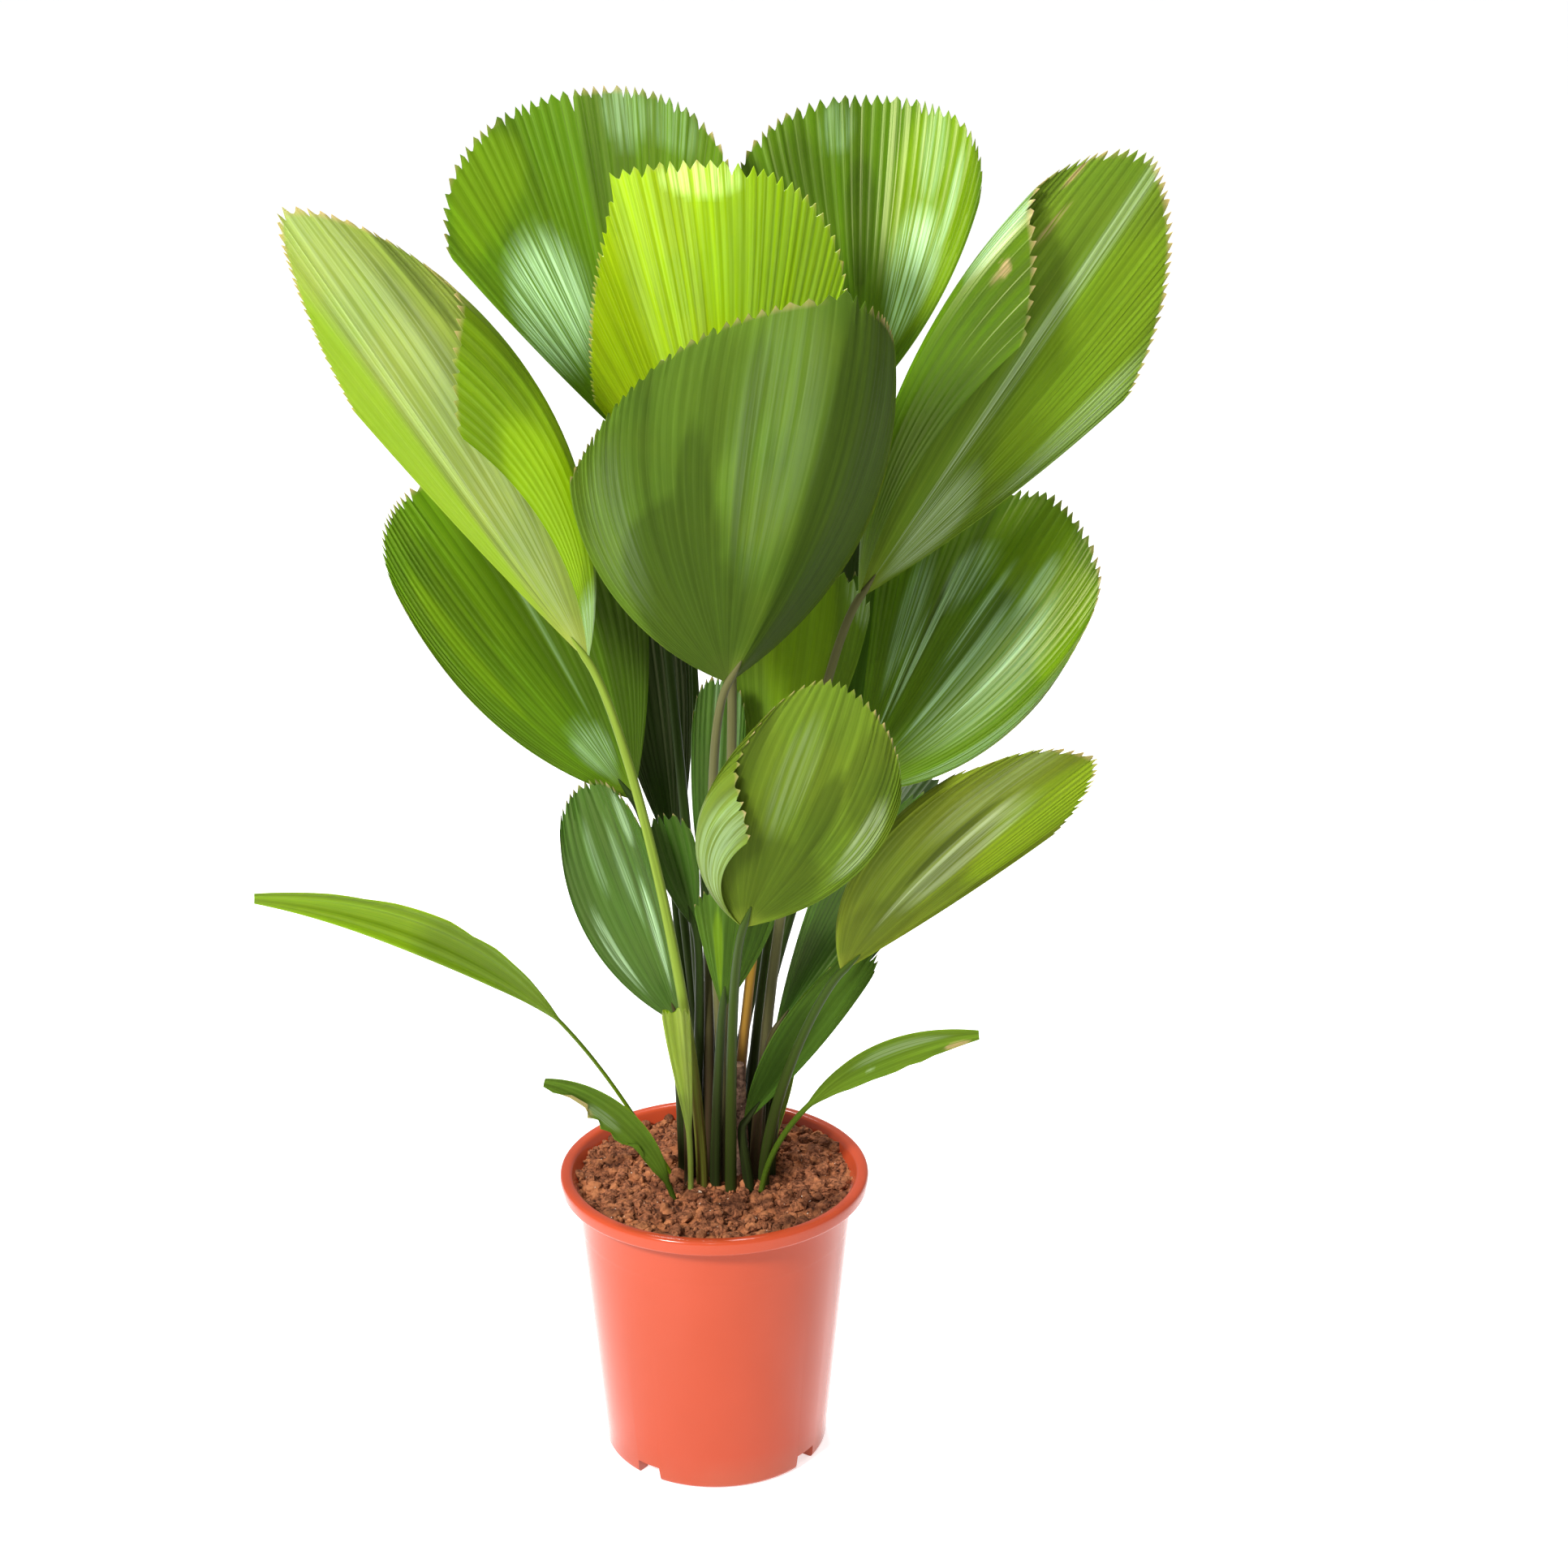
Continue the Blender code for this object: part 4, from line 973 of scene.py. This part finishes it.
def make_soil():
    """A crumbly surface that runs down into the pot at its edge. Returns its radius and points."""
    rng = np.random.default_rng(5)
    radius = inner_radius(SOIL_TOP) - SOIL_GAP
    reach = np.linspace(1, 0.01, SOIL_RINGS) * radius
    turns = np.linspace(0, 2 * math.pi, SOIL_SIDES, endpoint=False)
    flat = np.array([[around(r, a) for a in turns] for r in reach]).reshape(-1, 2)
    height = sum(value_noise(rng, flat, cell) * size for cell, size in CLODS)
    calm = np.clip((radius - np.linalg.norm(flat, axis=1)) / CALM, 0.3, 1)
    points = np.column_stack((flat, SOIL_TOP - 0.001 + height * calm))
    lip = POT_HEIGHT - RIM_HEIGHT
    low = inner_radius(lip) - SOIL_GAP
    skirt = ((low, lip - 0.02), (low, lip + 0.0003), (radius, lip + INNER_STEP + SOIL_GAP))
    edge = np.array([(*around(r, a), z) for r, z in skirt for a in turns])
    faces = loft_faces(SOIL_RINGS + len(skirt), SOIL_SIDES)
    soil = new_piece("coir", np.concatenate((edge, points)), faces, (soil_material("coir"),), sharp=180)
    dress(soil, "soil")
    return radius, points


def make_crumbs(radius, points):
    """Loose crumbs of coir, each resting at the surface's nearest point."""
    mesh = bmesh.new()
    chooser = random.Random(11)
    finest, coarsest = CRUMB_SIZES
    crumbs = []
    for _ in range(CRUMBS):
        place = around(radius * math.sqrt(chooser.random()) * 0.97, chooser.uniform(0, 2 * math.pi))
        crumbs.append((*place, finest + (coarsest - finest) * chooser.random() ** 3))
    for x, y, size in crumbs:
        detail = 1 if size < COARSE else 2
        ball = bmesh.ops.create_icosphere(mesh, subdivisions=detail, radius=size)["verts"]
        stretch = [chooser.uniform(0.6, 1.3) for _ in range(3)]
        near = np.argmin((points[:, 0] - x) ** 2 + (points[:, 1] - y) ** 2)
        for vert in ball:
            bump = chooser.uniform(0.78, 1.16)
            vert.co = (x + vert.co.x * stretch[0] * bump, y + vert.co.y * stretch[1] * bump,
                       points[near, 2] + size * 0.25 + vert.co.z * stretch[2] * bump * 0.8)
    data = mesh_of(mesh, "coir_crumbs")
    data.materials.append(soil_material("coir_crumbs"))
    dress(add_object("coir_crumbs", data), "soil")


def make_stem():
    """The rough fibrous stub."""
    rng = np.random.default_rng(9)
    foot = np.array((*STEM_FOOT, SOIL_TOP - ROOT_SINK))
    shares = np.linspace(0, 1, STEM_RINGS)
    points = foot + (np.array(STEM_TOP) - foot) * shares[:, None]
    ways = np.tile((0.0, 0.0, 1.0), (len(points), 1))
    radii = np.interp(shares, np.linspace(0, 1, len(STEM_RADII)), STEM_RADII)
    rings = tube_points(points, ways, radii, STEM_SIDES)
    centre = points[:, None, :]
    rough = 1 + rng.uniform(-STEM_ROUGH, STEM_ROUGH, rings.shape[:2])
    rings = centre + (rings - centre) * rough[..., None]
    stem = new_piece("old_stem", rings.reshape(-1, 3), loft_faces(STEM_RINGS, STEM_SIDES),
                     (soil_material("stem_fibre"),))
    dress(stem, "stem")


def floor_material():
    n = Nodes("pale_floor")
    soft = n.noise(n.place(), 0.8, 2.0)
    n.set(Base_Color=n.mix(soft, (0.86, 0.86, 0.87, 1), (0.88, 0.88, 0.89, 1)), Roughness=0.55,
          Emission_Color=WHITE, Emission_Strength=FLOOR_GLOW)
    return n.material


def add_light(name, place, aim, diameter, watts):
    data = bpy.data.lights.new(name, "AREA")
    data.shape = "DISK"
    data.size = diameter
    data.energy = watts
    lamp = add_object(name, data)
    lamp.location = place
    lamp.rotation_euler = (Vector(aim) - Vector(place)).to_track_quat("-Z", "Y").to_euler()


def make_stage():
    """The floor, the lights and the camera."""
    bpy.ops.mesh.primitive_plane_add(size=FLOOR_SIZE, location=(0, 0, -FLOOR_DROP))
    floor = bpy.context.object
    floor.name = "floor"
    floor.data.materials.append(floor_material())
    world = bpy.data.worlds.new("studio")
    world.use_nodes = True
    sky = world.node_tree.nodes["Background"].inputs
    sky["Color"].default_value = WHITE
    sky["Strength"].default_value = WORLD_LIGHT
    bpy.context.scene.world = world
    bpy.context.scene.view_settings.view_transform = "Standard"
    for light in LIGHTS:
        add_light(*light)
    camera = add_object("camera", bpy.data.cameras.new("camera"))
    camera.location = CAMERA_PLACE
    camera.rotation_euler = (math.radians(90 - CAMERA_DOWN), 0, 0)
    camera.data.lens = CAMERA_LENS
    camera.data.sensor_width = CAMERA_SENSOR
    camera.data.clip_end = 100
    bpy.context.scene.camera = camera


make_stage()
make_pot()
make_crumbs(*make_soil())
make_stem()
for one in LEAVES:
    make_stalk(one)
    make_blade(one)
for one in SMALL_LEAVES:
    make_small_leaf(one)
